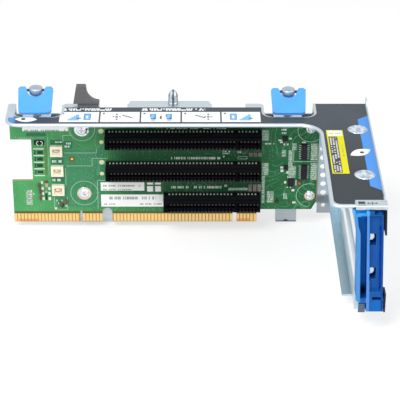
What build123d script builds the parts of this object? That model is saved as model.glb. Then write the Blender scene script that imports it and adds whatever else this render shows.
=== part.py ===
from build123d import *
from math import asin, atan, cos, degrees, hypot, pi, sin
import os

# Riser cage for a two-unit server: a folded steel cage carries an upright riser board with three card
# slots, a rear bracket with three card windows, a hinged card latch and two half-turn spring latches.
# Millimetres. +Z is up, +X points to the rear bracket, and cards plug in from the -Y side.

# Where the slots' datum stands in the part's frame, whose origin is the middle of the part's underside
SLOT_END_X = 40.95
BOARD_FACE_Y = 51.9
BOTTOM_SLOT_Z = 19.4

# Rounds that nothing turns in are drawn with flat sides: this many on large ones and on small ones
LARGE_ROUND = 24
SMALL_ROUND = 12

# Card slots
SLOT_PITCH = 20.32
SLOT_HEIGHT = 7.5
SLOT_DEPTH = 11.25
LONG_SLOT = 89.0
SHORT_SLOT = 56.0
KEY_X = -14.0
KEY_WIDTH = 1.2
KEY_CLEARANCE = 1.2
END_WALL = 1.6
CONTACT_PITCH = 2.0
CONTACT_WIDTH = 0.7
GROOVE_WIDTH = 1.9
GROOVE_DEPTH = 8.6
CHANNEL_WIDTH = 4.2
CHANNEL_START = 1.4
TAIL_GROOVE = (-1.6, -0.4)
TAIL_GROOVE_DEPTH = 1.0
TAIL_WIDTH = 0.8
TAIL_GAP = (-17.2, -12.4)
SLOTS = (("bottom", 0, SHORT_SLOT), ("middle", 1, LONG_SLOT), ("top", 2, LONG_SLOT))

# Riser board
BOARD_THICKNESS = 1.6
BOARD_LEFT = -143.4
BOARD_RIGHT = 33.4
BOARD_TOP = 50.0
BOARD_BOTTOM = -7.3
FINGER_BOTTOM = -15.5
FINGER_TOP = -10.2
FINGER_END = -1.7
FINGER_WIDTH = 1.5
FIRST_FINGER = 0.8
FINGER_COUNT = 71
FINGER_PLATING = 0.1
EDGE_GAPS = ((-104.9, -103.5), (-91.8, -86.0), (-15.8, -13.4))
SIDE_NOTCH = (-131.5, 11.8, 38.4)
SCREW_HOLE_RADIUS = 1.6
SCREW_SHANK_RADIUS = 1.45
# Place and washer radius of each screw that holds the board
BOARD_SCREWS = ((-102.3, 45.0, 4.4), (-102.0, 3.5, 4.4), (28.4, 44.4, 3.4), (29.2, 2.1, 3.4))

# Sheet steel cage
SHEET = 1.0
PLATE_TOP = 57.45
WALL_INNER_Y = 6.6
WALL_OUTER_Y = WALL_INNER_Y + SHEET
CAGE_LEFT = -144.2
STRIP_FRONT = -19.6
ARM_LEFT = 31.0
ARM_RIGHT = 60.0
ARM_FRONT = -112.0
INNER_CORNER = 11.0
STRIP_CORNER = 8.0
ARM_CORNER = 6.0
RIM_END = 43.4
RIM_HEIGHT = 1.4
BEND = 0.5
RELIEF_Y = 2.6
RELIEFS = ((-92.0, -76.2), (-28.2, -9.0))
RELIEF_TOP = 54.5
WALL_BOTTOM = -10.5
FOOT_BOTTOM = -13.5
FOOT_LEFT = 33.9
WALL_RIGHT = 45.5
TAB_BOTTOM = -19.4
GUIDE_TABS = ((-106.0, -84.0), (9.6, 22.0))
EAR_BACK = 11.2
EAR_LEFT = -75.2
EAR_RIGHT = -29.2
GUIDE_PIN = (-50.2, 8.2)
GUIDE_PIN_RADIUS = 2.75
GUIDE_PIN_SHANK = 4.6
# Radius and height of the nose at the ends of each slope
GUIDE_PIN_NOSE = ((2.75, 4.6), (2.25, 6.7), (0.95, 8.4))
LABEL_THICKNESS = 0.15
LABEL_BORDER = 2.2
LATCH_NOTCHES = ((-139.6, -113.2), (1.3, 29.4))
NOTCH_FRONT = -9.5
NOTCH_CORNER = 5.0
MOUTH_CORNER = 3.0
LABEL_NOTCH_SIDE = 1.5
LABEL_NOTCH_FRONT = -10.4
VENTS = [(36.3 + 0.2 * n, 28.8 - 5.75 * n) for n in range(6)]
VENT_RADIUS = 1.7
SMALL_VENT = (37.6, -8.3)
SMALL_VENT_RADIUS = 1.2
JOINTS = ((52.2, -25.3), (51.6, -78.4))
JOINT_RADIUS = 5.3

# Rear bracket
BRACKET_X = 46.5
BRACKET_BOTTOM = -11.4
BRACKET_FRONT = -106.0
BRACKET_RIGHT = 62.3
WINDOW_LOW = -0.5
WINDOW_HEIGHT = 12.8
WINDOW_BACK = -13.0
WINDOW_FRONT = -98.0
HINGE_Y = -109.4
HINGE_Z = -3.2
HINGE_PIN_RADIUS = 1.0
EAR_FRONT = -112.4
# Half-round tongues that reach through the card latch: left side and height of each
TONGUES = ((52.3, 39.1), (53.1, 18.8))
TONGUE_RADIUS = 2.3
KEEPER_BACK = -107.1
KEEPER_FRONT = -113.6
KEEPER_SLOT = (45.4, 49.0, -111.4, -108.4)

# Card latch
CARD_LATCH_FRONT = -115.0
CARD_LATCH_BACK = -106.3
CARD_LATCH_TOP = 55.4
CARD_LATCH_BASE = 0.8
HEEL_RADIUS = 2.4
HEEL_LEFT = 51.9
HEEL_RIGHT = 60.8

# Half-turn latches: name, axis along the cage, and height of the hinge pin above the bottom slot
LATCHES = (("left", -127.8, 67.4), ("right", 15.1, 66.4))
POST_Y = 4.6
POST_RADIUS = 1.5
HEAD_RADIUS = 3.85
HEAD_HALF_HEIGHT = 1.9
PIN_RADIUS = 0.8
CLIP_RADIUS = 1.9
RUNNING_GAP = 0.05
SHELF_TOP = 51.6
SHELF_FRONT = 0.8
POST_BOTTOM = 38.0
WASHER_THICKNESS = 0.8
WASHER_RADIUS = 2.95
TAB_LENGTH = 15.3
TAB_HEEL = 1.8
TAB_THICKNESS = 2.2
TAB_SEAT_RADIUS = 4.9
TAB_SEAT_FLARE = 6.4
KNUCKLE_RADIUS = 1.35
KNUCKLES = ((-9.2, -5.9), (5.9, 9.2))
TAB_TIP_CLEARANCE = 0.3
TAB_TOP_WIDTH = 19.8
TAB_TIP_WIDTH = 18.4
SPRING_RADIUS = 2.1
SPRING_WIRE = 0.55
SPRING_TURNS = 5
SPRING_STEPS = 8

# Chips on the board: left, right, bottom and top of each
CHIPS = ((23.2, 26.7, 25.7, 35.4), (23.4, 26.9, 13.0, 22.0))
LEADS_EACH_SIDE = 7

SEEN_FROM_FRONT = Plane((SLOT_END_X, BOARD_FACE_Y, BOTTOM_SLOT_Z), x_dir=(1, 0, 0), z_dir=(0, -1, 0))
SEEN_FROM_ABOVE = Plane((SLOT_END_X, BOARD_FACE_Y, BOTTOM_SLOT_Z), x_dir=(1, 0, 0), z_dir=(0, 0, 1))
SEEN_FROM_RIGHT = Plane((SLOT_END_X, BOARD_FACE_Y, BOTTOM_SLOT_Z), x_dir=(0, 1, 0), z_dir=(1, 0, 0))

os.makedirs("parts", exist_ok=True)


def front_plane(y):
    """Upright plane at depth y from the board's face; its sketch axes are X and Z."""
    return SEEN_FROM_FRONT.offset(-y)


def level_plane(z):
    """Level plane at height z above the bottom slot; its sketch axes are X and Y."""
    return SEEN_FROM_ABOVE.offset(z)


def side_plane(x):
    """Upright plane at x from the slots' ends; its sketch axes are Y and Z."""
    return SEEN_FROM_RIGHT.offset(x)


def span(low, high):
    """Middle and length of a stretch."""
    return (low + high) / 2, high - low


def rectangle(x_low, x_high, y_low, y_high, mode=Mode.ADD):
    """Rectangle given by its four sides, drawn in the sketch that is open."""
    x_mid, width = span(x_low, x_high)
    y_mid, height = span(y_low, y_high)
    with Locations((x_mid, y_mid)):
        Rectangle(width, height, mode=mode)


def many_sided(x, y, radius, sides, mode=Mode.ADD):
    """Round with flat sides whose corners lie on the circle, drawn in the sketch that is open."""
    with Locations((x, y)):
        RegularPolygon(radius, sides, mode=mode)


def save(builder, name):
    """Label a finished piece and write it out."""
    builder.part.label = name
    export_step(builder.part, f"parts/{name}.step")


def corners_near(sketch, spots):
    """The corners of a sketch that lie at the given places."""
    return [v for v in sketch.vertices() if any(abs(v.X - x) < 0.1 and abs(v.Y - y) < 0.1 for x, y in spots)]


# Card slots: a moulded housing with a card groove, a key and a channel for the springs
def card_slot(name, row, length):
    z = row * SLOT_PITCH
    with BuildPart() as housing:
        with BuildSketch(side_plane(-length)):
            rectangle(-SLOT_DEPTH, 0, z - SLOT_HEIGHT / 2, z + SLOT_HEIGHT / 2)
            rectangle(-SLOT_DEPTH, GROOVE_DEPTH - SLOT_DEPTH, z - GROOVE_WIDTH / 2, z + GROOVE_WIDTH / 2,
                      mode=Mode.SUBTRACT)
            rectangle(CHANNEL_START - SLOT_DEPTH, GROOVE_DEPTH - SLOT_DEPTH, z - CHANNEL_WIDTH / 2,
                      z + CHANNEL_WIDTH / 2, mode=Mode.SUBTRACT)
        extrude(amount=length)
        # Solid ends and the key close the groove
        for x_low, x_high in ((-length, END_WALL - length), (-END_WALL, 0),
                              (KEY_X - KEY_WIDTH / 2, KEY_X + KEY_WIDTH / 2)):
            with BuildSketch(front_plane(0)):
                rectangle(x_low, x_high, z - SLOT_HEIGHT / 2, z + SLOT_HEIGHT / 2)
            extrude(amount=SLOT_DEPTH)
        # The mouth is bevelled, and the front corners of the housing are stepped back
        with BuildSketch(side_plane(END_WALL - length)):
            with BuildLine():
                Polyline((-SLOT_DEPTH, z - 1.8), (-SLOT_DEPTH + 0.9, z - GROOVE_WIDTH / 2),
                         (-SLOT_DEPTH + 0.9, z + GROOVE_WIDTH / 2), (-SLOT_DEPTH, z + 1.8), close=True)
            make_face()
        extrude(amount=length - 2 * END_WALL, mode=Mode.SUBTRACT)
        for side in (-1, 1):
            with BuildSketch(side_plane(-length)):
                step = z + side * SLOT_HEIGHT / 2
                rectangle(-SLOT_DEPTH, -SLOT_DEPTH + 2.4, step - 0.5, step + 0.5)
            extrude(amount=length, mode=Mode.SUBTRACT)
        # Groove along the top, close to the board, in which the contact tails stand
        with BuildSketch(level_plane(z + SLOT_HEIGHT / 2)):
            rectangle(END_WALL - length, -END_WALL, TAIL_GROOVE[0], TAIL_GROOVE[1])
        extrude(amount=-TAIL_GROOVE_DEPTH, mode=Mode.SUBTRACT)
    save(housing, f"card_slot_{name}")


def rows_of_contacts(length):
    """Places of the contacts along a slot, between its end walls."""
    count = int((length - 5) / CONTACT_PITCH) + 1
    return [-2.6 - CONTACT_PITCH * n for n in range(count)]


def contact_places(length):
    """Places of the springs along a slot, clear of the key."""
    return [x for x in rows_of_contacts(length) if abs(x - KEY_X) > KEY_CLEARANCE]


# Springs of one slot: a wedge on each side of the groove, rooted in the housing's floor
def slot_contacts(name, row, length):
    z = row * SLOT_PITCH
    half_channel = CHANNEL_WIDTH / 2
    floor = GROOVE_DEPTH - SLOT_DEPTH
    with BuildPart() as contacts:
        with BuildSketch(*[side_plane(x - CONTACT_WIDTH / 2) for x in contact_places(length)]):
            for side in (-1, 1):
                with BuildLine():
                    Polyline((floor, z + side * (half_channel - 0.6)), (-9.0, z + side * 1.0),
                             (floor, z + side * half_channel), close=True)
                make_face()
        extrude(amount=CONTACT_WIDTH)
    save(contacts, f"slot_contacts_{name}")


# Contact tails in a row along the top of each housing
def contact_tails():
    y_mid, depth = span(TAIL_GROOVE[0], TAIL_GROOVE[1])
    with BuildPart() as tails:
        for _, row, length in SLOTS:
            spots = [(x, y_mid) for x in rows_of_contacts(length) if not TAIL_GAP[0] < x < TAIL_GAP[1]]
            floor = row * SLOT_PITCH + SLOT_HEIGHT / 2 - TAIL_GROOVE_DEPTH
            with BuildSketch(level_plane(floor)):
                with Locations(spots):
                    Rectangle(TAIL_WIDTH, depth)
            extrude(amount=TAIL_GROOVE_DEPTH * 0.8)
    save(tails, "contact_tails")


# Riser board: outline with the side notch, the keyed contact edge and four screw holes
def riser_board():
    notch_x, notch_low, notch_high = SIDE_NOTCH
    with BuildPart() as board:
        with BuildSketch(front_plane(BOARD_THICKNESS)):
            with BuildLine():
                Polyline((BOARD_LEFT, BOARD_TOP), (BOARD_LEFT, notch_high), (notch_x, notch_high),
                         (notch_x, notch_low), (BOARD_LEFT, notch_low), (BOARD_LEFT, FINGER_BOTTOM),
                         (FINGER_END, FINGER_BOTTOM), (FINGER_END, BOARD_BOTTOM), (30.1, BOARD_BOTTOM),
                         (BOARD_RIGHT, -1.2), (BOARD_RIGHT, BOARD_TOP), close=True)
            make_face()
            small, wide, key = EDGE_GAPS
            rectangle(small[0], small[1], FINGER_BOTTOM, -7.9, mode=Mode.SUBTRACT)
            rectangle(key[0], key[1], FINGER_BOTTOM, -6.4, mode=Mode.SUBTRACT)
            rectangle(wide[0], wide[1], FINGER_BOTTOM, -9.2, mode=Mode.SUBTRACT)
            with Locations((sum(wide) / 2, -9.2)):
                Circle((wide[1] - wide[0]) / 2, mode=Mode.SUBTRACT)
            for x, z, _ in BOARD_SCREWS:
                many_sided(x, z, SCREW_HOLE_RADIUS, SMALL_ROUND, mode=Mode.SUBTRACT)
        extrude(amount=BOARD_THICKNESS)
    save(board, "riser_board")


def finger_places():
    """Places of the gold contacts along the edge, clear of its three gaps."""
    places = [BOARD_LEFT + FIRST_FINGER + CONTACT_PITCH * n for n in range(FINGER_COUNT)]
    reach = FINGER_WIDTH / 2
    return [x for x in places if all(x + reach < low or x - reach > high for low, high in EDGE_GAPS)]


# Gold contacts on both faces of the board's lower edge
def edge_contacts():
    z_mid, height = span(FINGER_BOTTOM + 0.4, FINGER_TOP)
    with BuildPart() as contacts:
        for face in (0, BOARD_THICKNESS + FINGER_PLATING):
            with BuildSketch(front_plane(face)):
                with Locations([(x, z_mid) for x in finger_places()]):
                    Rectangle(FINGER_WIDTH, height)
            extrude(amount=FINGER_PLATING)
    save(contacts, "edge_contacts")


# Outline of the top plate: the strip over the board and the arm over the cards
def plate_outline(sketch):
    rectangle(CAGE_LEFT, ARM_RIGHT, STRIP_FRONT, WALL_OUTER_Y)
    rectangle(ARM_LEFT, ARM_RIGHT, ARM_FRONT, WALL_OUTER_Y)
    fillet(corners_near(sketch, [(ARM_LEFT, STRIP_FRONT)]), INNER_CORNER)
    fillet(corners_near(sketch, [(CAGE_LEFT, STRIP_FRONT)]), STRIP_CORNER)
    fillet(corners_near(sketch, [(ARM_LEFT, ARM_FRONT)]), ARM_CORNER)


def wall_corners():
    """Corners of the back wall, with its guide tabs and the foot on the right."""
    corners = [(CAGE_LEFT + 1.2, PLATE_TOP), (CAGE_LEFT + 1.2, 41.0), (-127.0, 41.0), (-127.0, WALL_BOTTOM)]
    for low, high in GUIDE_TABS:
        corners += [(low, WALL_BOTTOM), (low, TAB_BOTTOM), (high, TAB_BOTTOM), (high, WALL_BOTTOM)]
    corners += [(30.4, WALL_BOTTOM), (30.4, -6.8), (FOOT_LEFT, -6.8), (FOOT_LEFT, FOOT_BOTTOM)]
    return corners + [(WALL_RIGHT, FOOT_BOTTOM), (WALL_RIGHT, PLATE_TOP)]


# Cage: top plate, back wall with guide tabs and vents, latch shelves and a turned-down rim
def cage_frame():
    with BuildPart() as cage:
        # Top plate with the two latch notches open at the back, and the ear for the guide pin
        with BuildSketch(level_plane(PLATE_TOP - SHEET)) as plate:
            plate_outline(plate)
            with BuildSketch(mode=Mode.SUBTRACT) as notches:
                for low, high in LATCH_NOTCHES:
                    rectangle(low, high, NOTCH_FRONT, WALL_OUTER_Y + 1)
                fillet(corners_near(notches, [(x, NOTCH_FRONT) for pair in LATCH_NOTCHES for x in pair]),
                       NOTCH_CORNER)
            # The back edge is cut forward in two stretches, and two notch mouths are rounded
            for low, high in RELIEFS:
                rectangle(low, high, RELIEF_Y, WALL_OUTER_Y + 1, mode=Mode.SUBTRACT)
            mouths = [(LATCH_NOTCHES[0][1], WALL_OUTER_Y), (LATCH_NOTCHES[1][0], WALL_OUTER_Y)]
            fillet(corners_near(plate, mouths), MOUTH_CORNER)
            with BuildSketch() as ear:
                rectangle(EAR_LEFT, EAR_RIGHT, WALL_INNER_Y, EAR_BACK)
                fillet(corners_near(ear, [(EAR_LEFT, EAR_BACK), (EAR_RIGHT, EAR_BACK)]), 2.0)
            # Slot over the card latch
            rectangle(KEEPER_SLOT[0], KEEPER_SLOT[1], KEEPER_SLOT[2], KEEPER_SLOT[3], mode=Mode.SUBTRACT)
        extrude(amount=SHEET)
        # Turned-down rim along the strip's front, round the inner corner and along the arm
        with BuildSketch(level_plane(PLATE_TOP - RIM_HEIGHT)) as rim:
            plate_outline(rim)
            offset(amount=-SHEET, mode=Mode.SUBTRACT)
            rectangle(CAGE_LEFT - 1, ARM_RIGHT + 1, -9.0, WALL_OUTER_Y + 1, mode=Mode.SUBTRACT)
            rectangle(RIM_END, ARM_RIGHT + 1, ARM_FRONT - 1, WALL_OUTER_Y, mode=Mode.SUBTRACT)
        extrude(amount=RIM_HEIGHT)
        # Back wall
        with BuildSketch(front_plane(WALL_OUTER_Y)) as wall:
            with BuildLine():
                Polyline(*wall_corners(), close=True)
            make_face()
            chamfer(corners_near(wall, [(low, TAB_BOTTOM) for low, _ in GUIDE_TABS]), 1.2)
            # Latch notches, reliefs in the top edge and under the ear, and the vents
            for low, high in LATCH_NOTCHES:
                rectangle(low, high, SHELF_TOP, PLATE_TOP + 1, mode=Mode.SUBTRACT)
            for low, high in RELIEFS:
                rectangle(low, high, RELIEF_TOP, PLATE_TOP + 1, mode=Mode.SUBTRACT)
            for low, high in ((mouths[0][0], mouths[0][0] + MOUTH_CORNER),
                              (mouths[1][0] - MOUTH_CORNER, mouths[1][0])):
                rectangle(low, high, RELIEF_TOP, PLATE_TOP + 1, mode=Mode.SUBTRACT)
            rectangle(EAR_LEFT - 1, EAR_RIGHT + 1, PLATE_TOP - SHEET - 1.2, PLATE_TOP - SHEET,
                      mode=Mode.SUBTRACT)
            with Locations(*VENTS):
                Circle(VENT_RADIUS, mode=Mode.SUBTRACT)
            with Locations(SMALL_VENT):
                Circle(SMALL_VENT_RADIUS, mode=Mode.SUBTRACT)
        extrude(amount=SHEET)
        # Small pointer pressed into the right guide tab's lower edge
        with BuildSketch(front_plane(WALL_INNER_Y)):
            with BuildLine():
                Polyline((14.7, TAB_BOTTOM), (15.8, TAB_BOTTOM + 1.4), (16.9, TAB_BOTTOM), close=True)
            make_face()
        extrude(amount=-SHEET * 0.6, mode=Mode.SUBTRACT)
        # Shelves turned in from the wall, each bored for a latch post
        for _, x, _ in LATCHES:
            with BuildSketch(level_plane(SHELF_TOP - SHEET)):
                rectangle(x - 8.0, x + 8.0, SHELF_FRONT, WALL_INNER_Y + 0.5)
                with Locations((x, POST_Y)):
                    Circle(POST_RADIUS + RUNNING_GAP, mode=Mode.SUBTRACT)
            extrude(amount=SHEET)
        # Raised edge along the right side, taller at the back
        with BuildSketch(side_plane(ARM_RIGHT - SHEET * 0.8)):
            with BuildLine():
                Polyline((ARM_FRONT + 9.0, PLATE_TOP - SHEET), (ARM_FRONT + 9.0, PLATE_TOP + 1.2),
                         (1.5, PLATE_TOP + 1.2), (3.0, PLATE_TOP + 4.0), (WALL_OUTER_Y, PLATE_TOP + 4.0),
                         (WALL_OUTER_Y, PLATE_TOP - SHEET), close=True)
            make_face()
        extrude(amount=SHEET * 0.8)
        # Bend radii along the rim
        top_edges = [e for e in cage.edges()
                     if abs(e.center().Z - (PLATE_TOP + BOTTOM_SLOT_Z)) < 0.01 and on_rim(e.center())]
        chamfer(top_edges, BEND)
    save(cage, "cage_frame")


def on_rim(point):
    """True for a point over the plate's turned-down rim."""
    x = point.X - SLOT_END_X
    y = point.Y - BOARD_FACE_Y
    along_strip = abs(y - STRIP_FRONT) < 0.05 and x < ARM_LEFT
    along_arm = abs(x - ARM_LEFT) < 0.05 and y < STRIP_FRONT
    inner_corner = ARM_LEFT - INNER_CORNER < x < ARM_LEFT and STRIP_FRONT - INNER_CORNER < y < STRIP_FRONT
    left_corner = x < CAGE_LEFT + 4 and y < STRIP_FRONT + 4
    front_corner = ARM_LEFT < x < ARM_LEFT + 4 and y < ARM_FRONT + 4
    front_edge = abs(y - ARM_FRONT) < 0.05 and x < RIM_END
    return along_strip or along_arm or inner_corner or left_corner or front_corner or front_edge


# Printed label on the plate, set in from its edges and cut out round the two joints
def instruction_label():
    with BuildPart() as label:
        with BuildSketch(level_plane(PLATE_TOP)) as sheet:
            rectangle(CAGE_LEFT + 1.7, 1.3, STRIP_FRONT + LABEL_BORDER, 2.4)
            rectangle(0, ARM_RIGHT - 1.0, STRIP_FRONT + LABEL_BORDER, WALL_OUTER_Y - 0.6)
            rectangle(ARM_LEFT + LABEL_BORDER, ARM_RIGHT - 1.0, KEEPER_BACK + 0.2, WALL_OUTER_Y - 0.6)
            rectangle(ARM_LEFT + LABEL_BORDER, 43.8, ARM_FRONT + LABEL_BORDER, -100.0)
            fillet(corners_near(sheet, [(ARM_LEFT + LABEL_BORDER, STRIP_FRONT + LABEL_BORDER)]),
                   INNER_CORNER + LABEL_BORDER)
            fillet(corners_near(sheet, [(ARM_LEFT + LABEL_BORDER, ARM_FRONT + LABEL_BORDER)]), 4.0)
            fillet(corners_near(sheet, [(CAGE_LEFT + 1.7, STRIP_FRONT + LABEL_BORDER)]), 5.0)
            with BuildSketch(mode=Mode.SUBTRACT) as notches:
                sides = [(low - LABEL_NOTCH_SIDE, high + LABEL_NOTCH_SIDE) for low, high in LATCH_NOTCHES]
                for low, high in sides:
                    rectangle(low, high, LABEL_NOTCH_FRONT, WALL_OUTER_Y + 1)
                fillet(corners_near(notches, [(x, LABEL_NOTCH_FRONT) for pair in sides for x in pair]),
                       NOTCH_CORNER + 1.5)
            rectangle(CAGE_LEFT, LATCH_NOTCHES[0][0], LABEL_NOTCH_FRONT, WALL_OUTER_Y + 1, mode=Mode.SUBTRACT)
            for x, y in JOINTS:
                many_sided(x, y, JOINT_RADIUS + 0.3, LARGE_ROUND, mode=Mode.SUBTRACT)
        extrude(amount=LABEL_THICKNESS)
    save(label, "instruction_label")


# Yellow service label on the arm
def service_label():
    with BuildPart() as label:
        with BuildSketch(level_plane(PLATE_TOP + LABEL_THICKNESS)):
            rectangle(34.6, 43.7, -77.4, -26.6)
        extrude(amount=0.1)
    save(label, "service_label")


# Two pressed joints that fasten the rear bracket's top flange to the plate
def cage_joints():
    with BuildPart() as joints:
        for x, y in JOINTS:
            with BuildSketch(level_plane(PLATE_TOP)):
                many_sided(x, y, JOINT_RADIUS, LARGE_ROUND)
            extrude(amount=0.5, taper=35)
    save(joints, "cage_joints")


# Rear bracket: wall with three card windows, folded flanges, forked front and hinge ears
def rear_bracket():
    with BuildPart() as bracket:
        with BuildSketch(side_plane(BRACKET_X)) as wall:
            with BuildLine():
                Polyline((WALL_INNER_Y, BRACKET_BOTTOM), (-88.5, BRACKET_BOTTOM), (-94.0, -8.6),
                         (BRACKET_FRONT, -8.6), (BRACKET_FRONT, 54.0), (-103.0, PLATE_TOP - SHEET),
                         (WALL_INNER_Y, PLATE_TOP - SHEET), close=True)
            make_face()
            for _, row, _ in SLOTS:
                low = row * SLOT_PITCH + WINDOW_LOW
                with BuildSketch(mode=Mode.SUBTRACT) as window:
                    rectangle(WINDOW_FRONT, WINDOW_BACK, low, low + WINDOW_HEIGHT)
                    chamfer(window.vertices(), 1.2)
        extrude(amount=SHEET)
        # Bottom, rear and top flanges
        with BuildSketch(level_plane(BRACKET_BOTTOM)):
            rectangle(41.5, BRACKET_X + 0.5, -88.5, WALL_INNER_Y)
        extrude(amount=SHEET)
        with BuildSketch(front_plane(WALL_INNER_Y)):
            rectangle(41.5, BRACKET_X + 0.5, BRACKET_BOTTOM, PLATE_TOP - SHEET)
        extrude(amount=SHEET)
        with BuildSketch(level_plane(PLATE_TOP - 2 * SHEET)):
            rectangle(BRACKET_X, 59.0, -103.0, WALL_INNER_Y)
        extrude(amount=SHEET)
        # Front flange under the card tabs, wider at its head and at the hinge
        with BuildSketch(front_plane(BRACKET_FRONT + SHEET)):
            with BuildLine():
                Polyline((BRACKET_X, -8.6), (BRACKET_RIGHT, -8.6), (BRACKET_RIGHT, 4.5), (60.1, 4.5),
                         (59.0, 39.7), (61.0, 39.7), (60.4, 54.0), (BRACKET_X, 54.0), close=True)
            make_face()
        extrude(amount=SHEET)
        # Half-round tongues that hold the card tabs
        for x, z in TONGUES:
            with BuildSketch(front_plane(BRACKET_FRONT)):
                with Locations((x, z)):
                    Circle(TONGUE_RADIUS)
                rectangle(x - 3, x, z - 3, z + 3, mode=Mode.SUBTRACT)
            extrude(amount=5.0)
        # Return along the outer side of the flange's head, leaning with it
        with BuildSketch(front_plane(BRACKET_FRONT + 0.5)):
            with BuildLine():
                Polyline((59.4, 54.0), (60.4, 54.0), (61.0, 39.7), (60.0, 39.7), close=True)
            make_face()
        extrude(amount=6.0)
        # Hinge ears; the left one is folded outwards at its front
        for x, top in ((HEEL_LEFT - 0.3 - SHEET, -1.2), (BRACKET_RIGHT - SHEET, 4.5)):
            with BuildSketch(side_plane(x)):
                rectangle(EAR_FRONT, BRACKET_FRONT + 0.5, -6.6, top)
                with Locations((HINGE_Y, HINGE_Z)):
                    Circle(HINGE_PIN_RADIUS, mode=Mode.SUBTRACT)
            extrude(amount=SHEET)
        with BuildSketch(front_plane(EAR_FRONT + SHEET)):
            rectangle(48.0, HEEL_LEFT - 0.3, -6.6, -1.2)
        extrude(amount=SHEET)
    save(bracket, "rear_bracket")


# Keeper strip over the card latch, riveted to the front of the arm
def latch_keeper():
    with BuildPart() as keeper:
        with BuildSketch(side_plane(44.0)):
            with BuildLine():
                Polyline((KEEPER_BACK, PLATE_TOP), (KEEPER_BACK, PLATE_TOP + 0.8),
                         (KEEPER_FRONT, PLATE_TOP + 0.8), (KEEPER_FRONT, 56.0), (-112.1, 56.0),
                         (-112.1, PLATE_TOP), close=True)
            make_face()
        extrude(amount=16.4)
        chamfer(keeper.edges().filter_by(Axis.X).group_by(Axis.Z)[-1].sort_by(Axis.Y)[0], 0.5)
        with BuildSketch(level_plane(PLATE_TOP)):
            rectangle(KEEPER_SLOT[0], KEEPER_SLOT[1], KEEPER_SLOT[2], KEEPER_SLOT[3])
        extrude(amount=2, mode=Mode.SUBTRACT)
    save(keeper, "latch_keeper")


# Card latch: a leaning moulding with a deep channel, a rib and a shallow panel, on a round heel
def card_latch():
    front = front_plane(CARD_LATCH_FRONT)
    depth = CARD_LATCH_BACK - CARD_LATCH_FRONT
    with BuildPart() as latch:
        with BuildSketch(front_plane(CARD_LATCH_BACK)) as body:
            with BuildLine():
                Polyline((42.5, CARD_LATCH_TOP), (43.7, 52.0), (44.4, 47.0), (45.2, 40.0),
                         (46.3, CARD_LATCH_BASE), (60.4, CARD_LATCH_BASE), (58.3, CARD_LATCH_TOP), close=True)
            make_face()
            fillet(corners_near(body, [(46.3, CARD_LATCH_BASE)]), 3.2)
        extrude(amount=depth)
        # Foot with a round heel about the hinge
        with BuildSketch(side_plane(HEEL_LEFT)):
            with BuildLine():
                Polyline((CARD_LATCH_FRONT, 3.0), (CARD_LATCH_FRONT, -4.2), (CARD_LATCH_FRONT + 0.8, -5.0),
                         (HINGE_Y, HINGE_Z - HEEL_RADIUS))
                ThreePointArc((HINGE_Y, HINGE_Z - HEEL_RADIUS),
                              (HINGE_Y + HEEL_RADIUS * cos(pi / 4), HINGE_Z - HEEL_RADIUS * sin(pi / 4)),
                              (HINGE_Y + HEEL_RADIUS, HINGE_Z))
                Polyline((HINGE_Y + HEEL_RADIUS, HINGE_Z), (CARD_LATCH_BACK, 3.0), (CARD_LATCH_FRONT, 3.0))
            make_face()
        extrude(amount=HEEL_RIGHT - HEEL_LEFT)
        # Deep channel on the left of the rib
        with BuildSketch(front):
            with BuildLine():
                Polyline((45.0, 52.6), (45.7, 47.5), (47.0, 42.5), (48.5, 3.3), (51.7, 3.3), (49.8, 52.6),
                         close=True)
            make_face()
        extrude(amount=-7.0, mode=Mode.SUBTRACT)
        # Shallow panel with a groove along its right side
        with BuildSketch(front):
            with BuildLine():
                Polyline((51.2, 53.2), (57.4, 53.2), (59.2, 7.6), (53.3, 7.6), close=True)
            make_face()
        extrude(amount=-1.6, mode=Mode.SUBTRACT)
        with BuildSketch(front):
            with BuildLine():
                Polyline((56.7, 46.5), (57.6, 46.5), (59.2, 7.6), (58.3, 7.6), close=True)
            make_face()
        extrude(amount=-4.0, mode=Mode.SUBTRACT)
        # Press pad ledge, top recess, and windows for the tongues
        with BuildSketch(level_plane(53.6)):
            rectangle(43.9, 49.5, CARD_LATCH_FRONT, -111.4)
        extrude(amount=5, mode=Mode.SUBTRACT)
        with BuildSketch(front):
            rectangle(53.6, 57.6, 53.6, CARD_LATCH_TOP + 1)
        extrude(amount=-4.0, mode=Mode.SUBTRACT)
        for x, z in TONGUES:
            with BuildSketch(front):
                rectangle(x - 0.4, x + TONGUE_RADIUS + 0.7, z - 4.2, z + TONGUE_RADIUS + 0.5)
            extrude(amount=-depth, mode=Mode.SUBTRACT)
        # Hole in the foot, whose face is set back beside the rib
        with BuildSketch(front):
            rectangle(54.7, 59.4, 2.2, 4.4)
        extrude(amount=-depth, mode=Mode.SUBTRACT)
        with BuildSketch(front):
            rectangle(53.5, HEEL_RIGHT, -6.0, 2.2)
        extrude(amount=-0.6, mode=Mode.SUBTRACT)
        # Bore for the hinge pin
        with BuildSketch(side_plane(HEEL_LEFT - 1)):
            with Locations((HINGE_Y, HINGE_Z)):
                Circle(HINGE_PIN_RADIUS + RUNNING_GAP)
        extrude(amount=HEEL_RIGHT - HEEL_LEFT + 2, mode=Mode.SUBTRACT)
    save(latch, "card_latch")


def card_latch_pin():
    left = HEEL_LEFT - 0.3 - SHEET
    with BuildPart() as pin:
        with BuildSketch(side_plane(left)):
            with Locations((HINGE_Y, HINGE_Z)):
                Circle(HINGE_PIN_RADIUS)
        extrude(amount=BRACKET_RIGHT - left)
    save(pin, "card_latch_pin")


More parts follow.
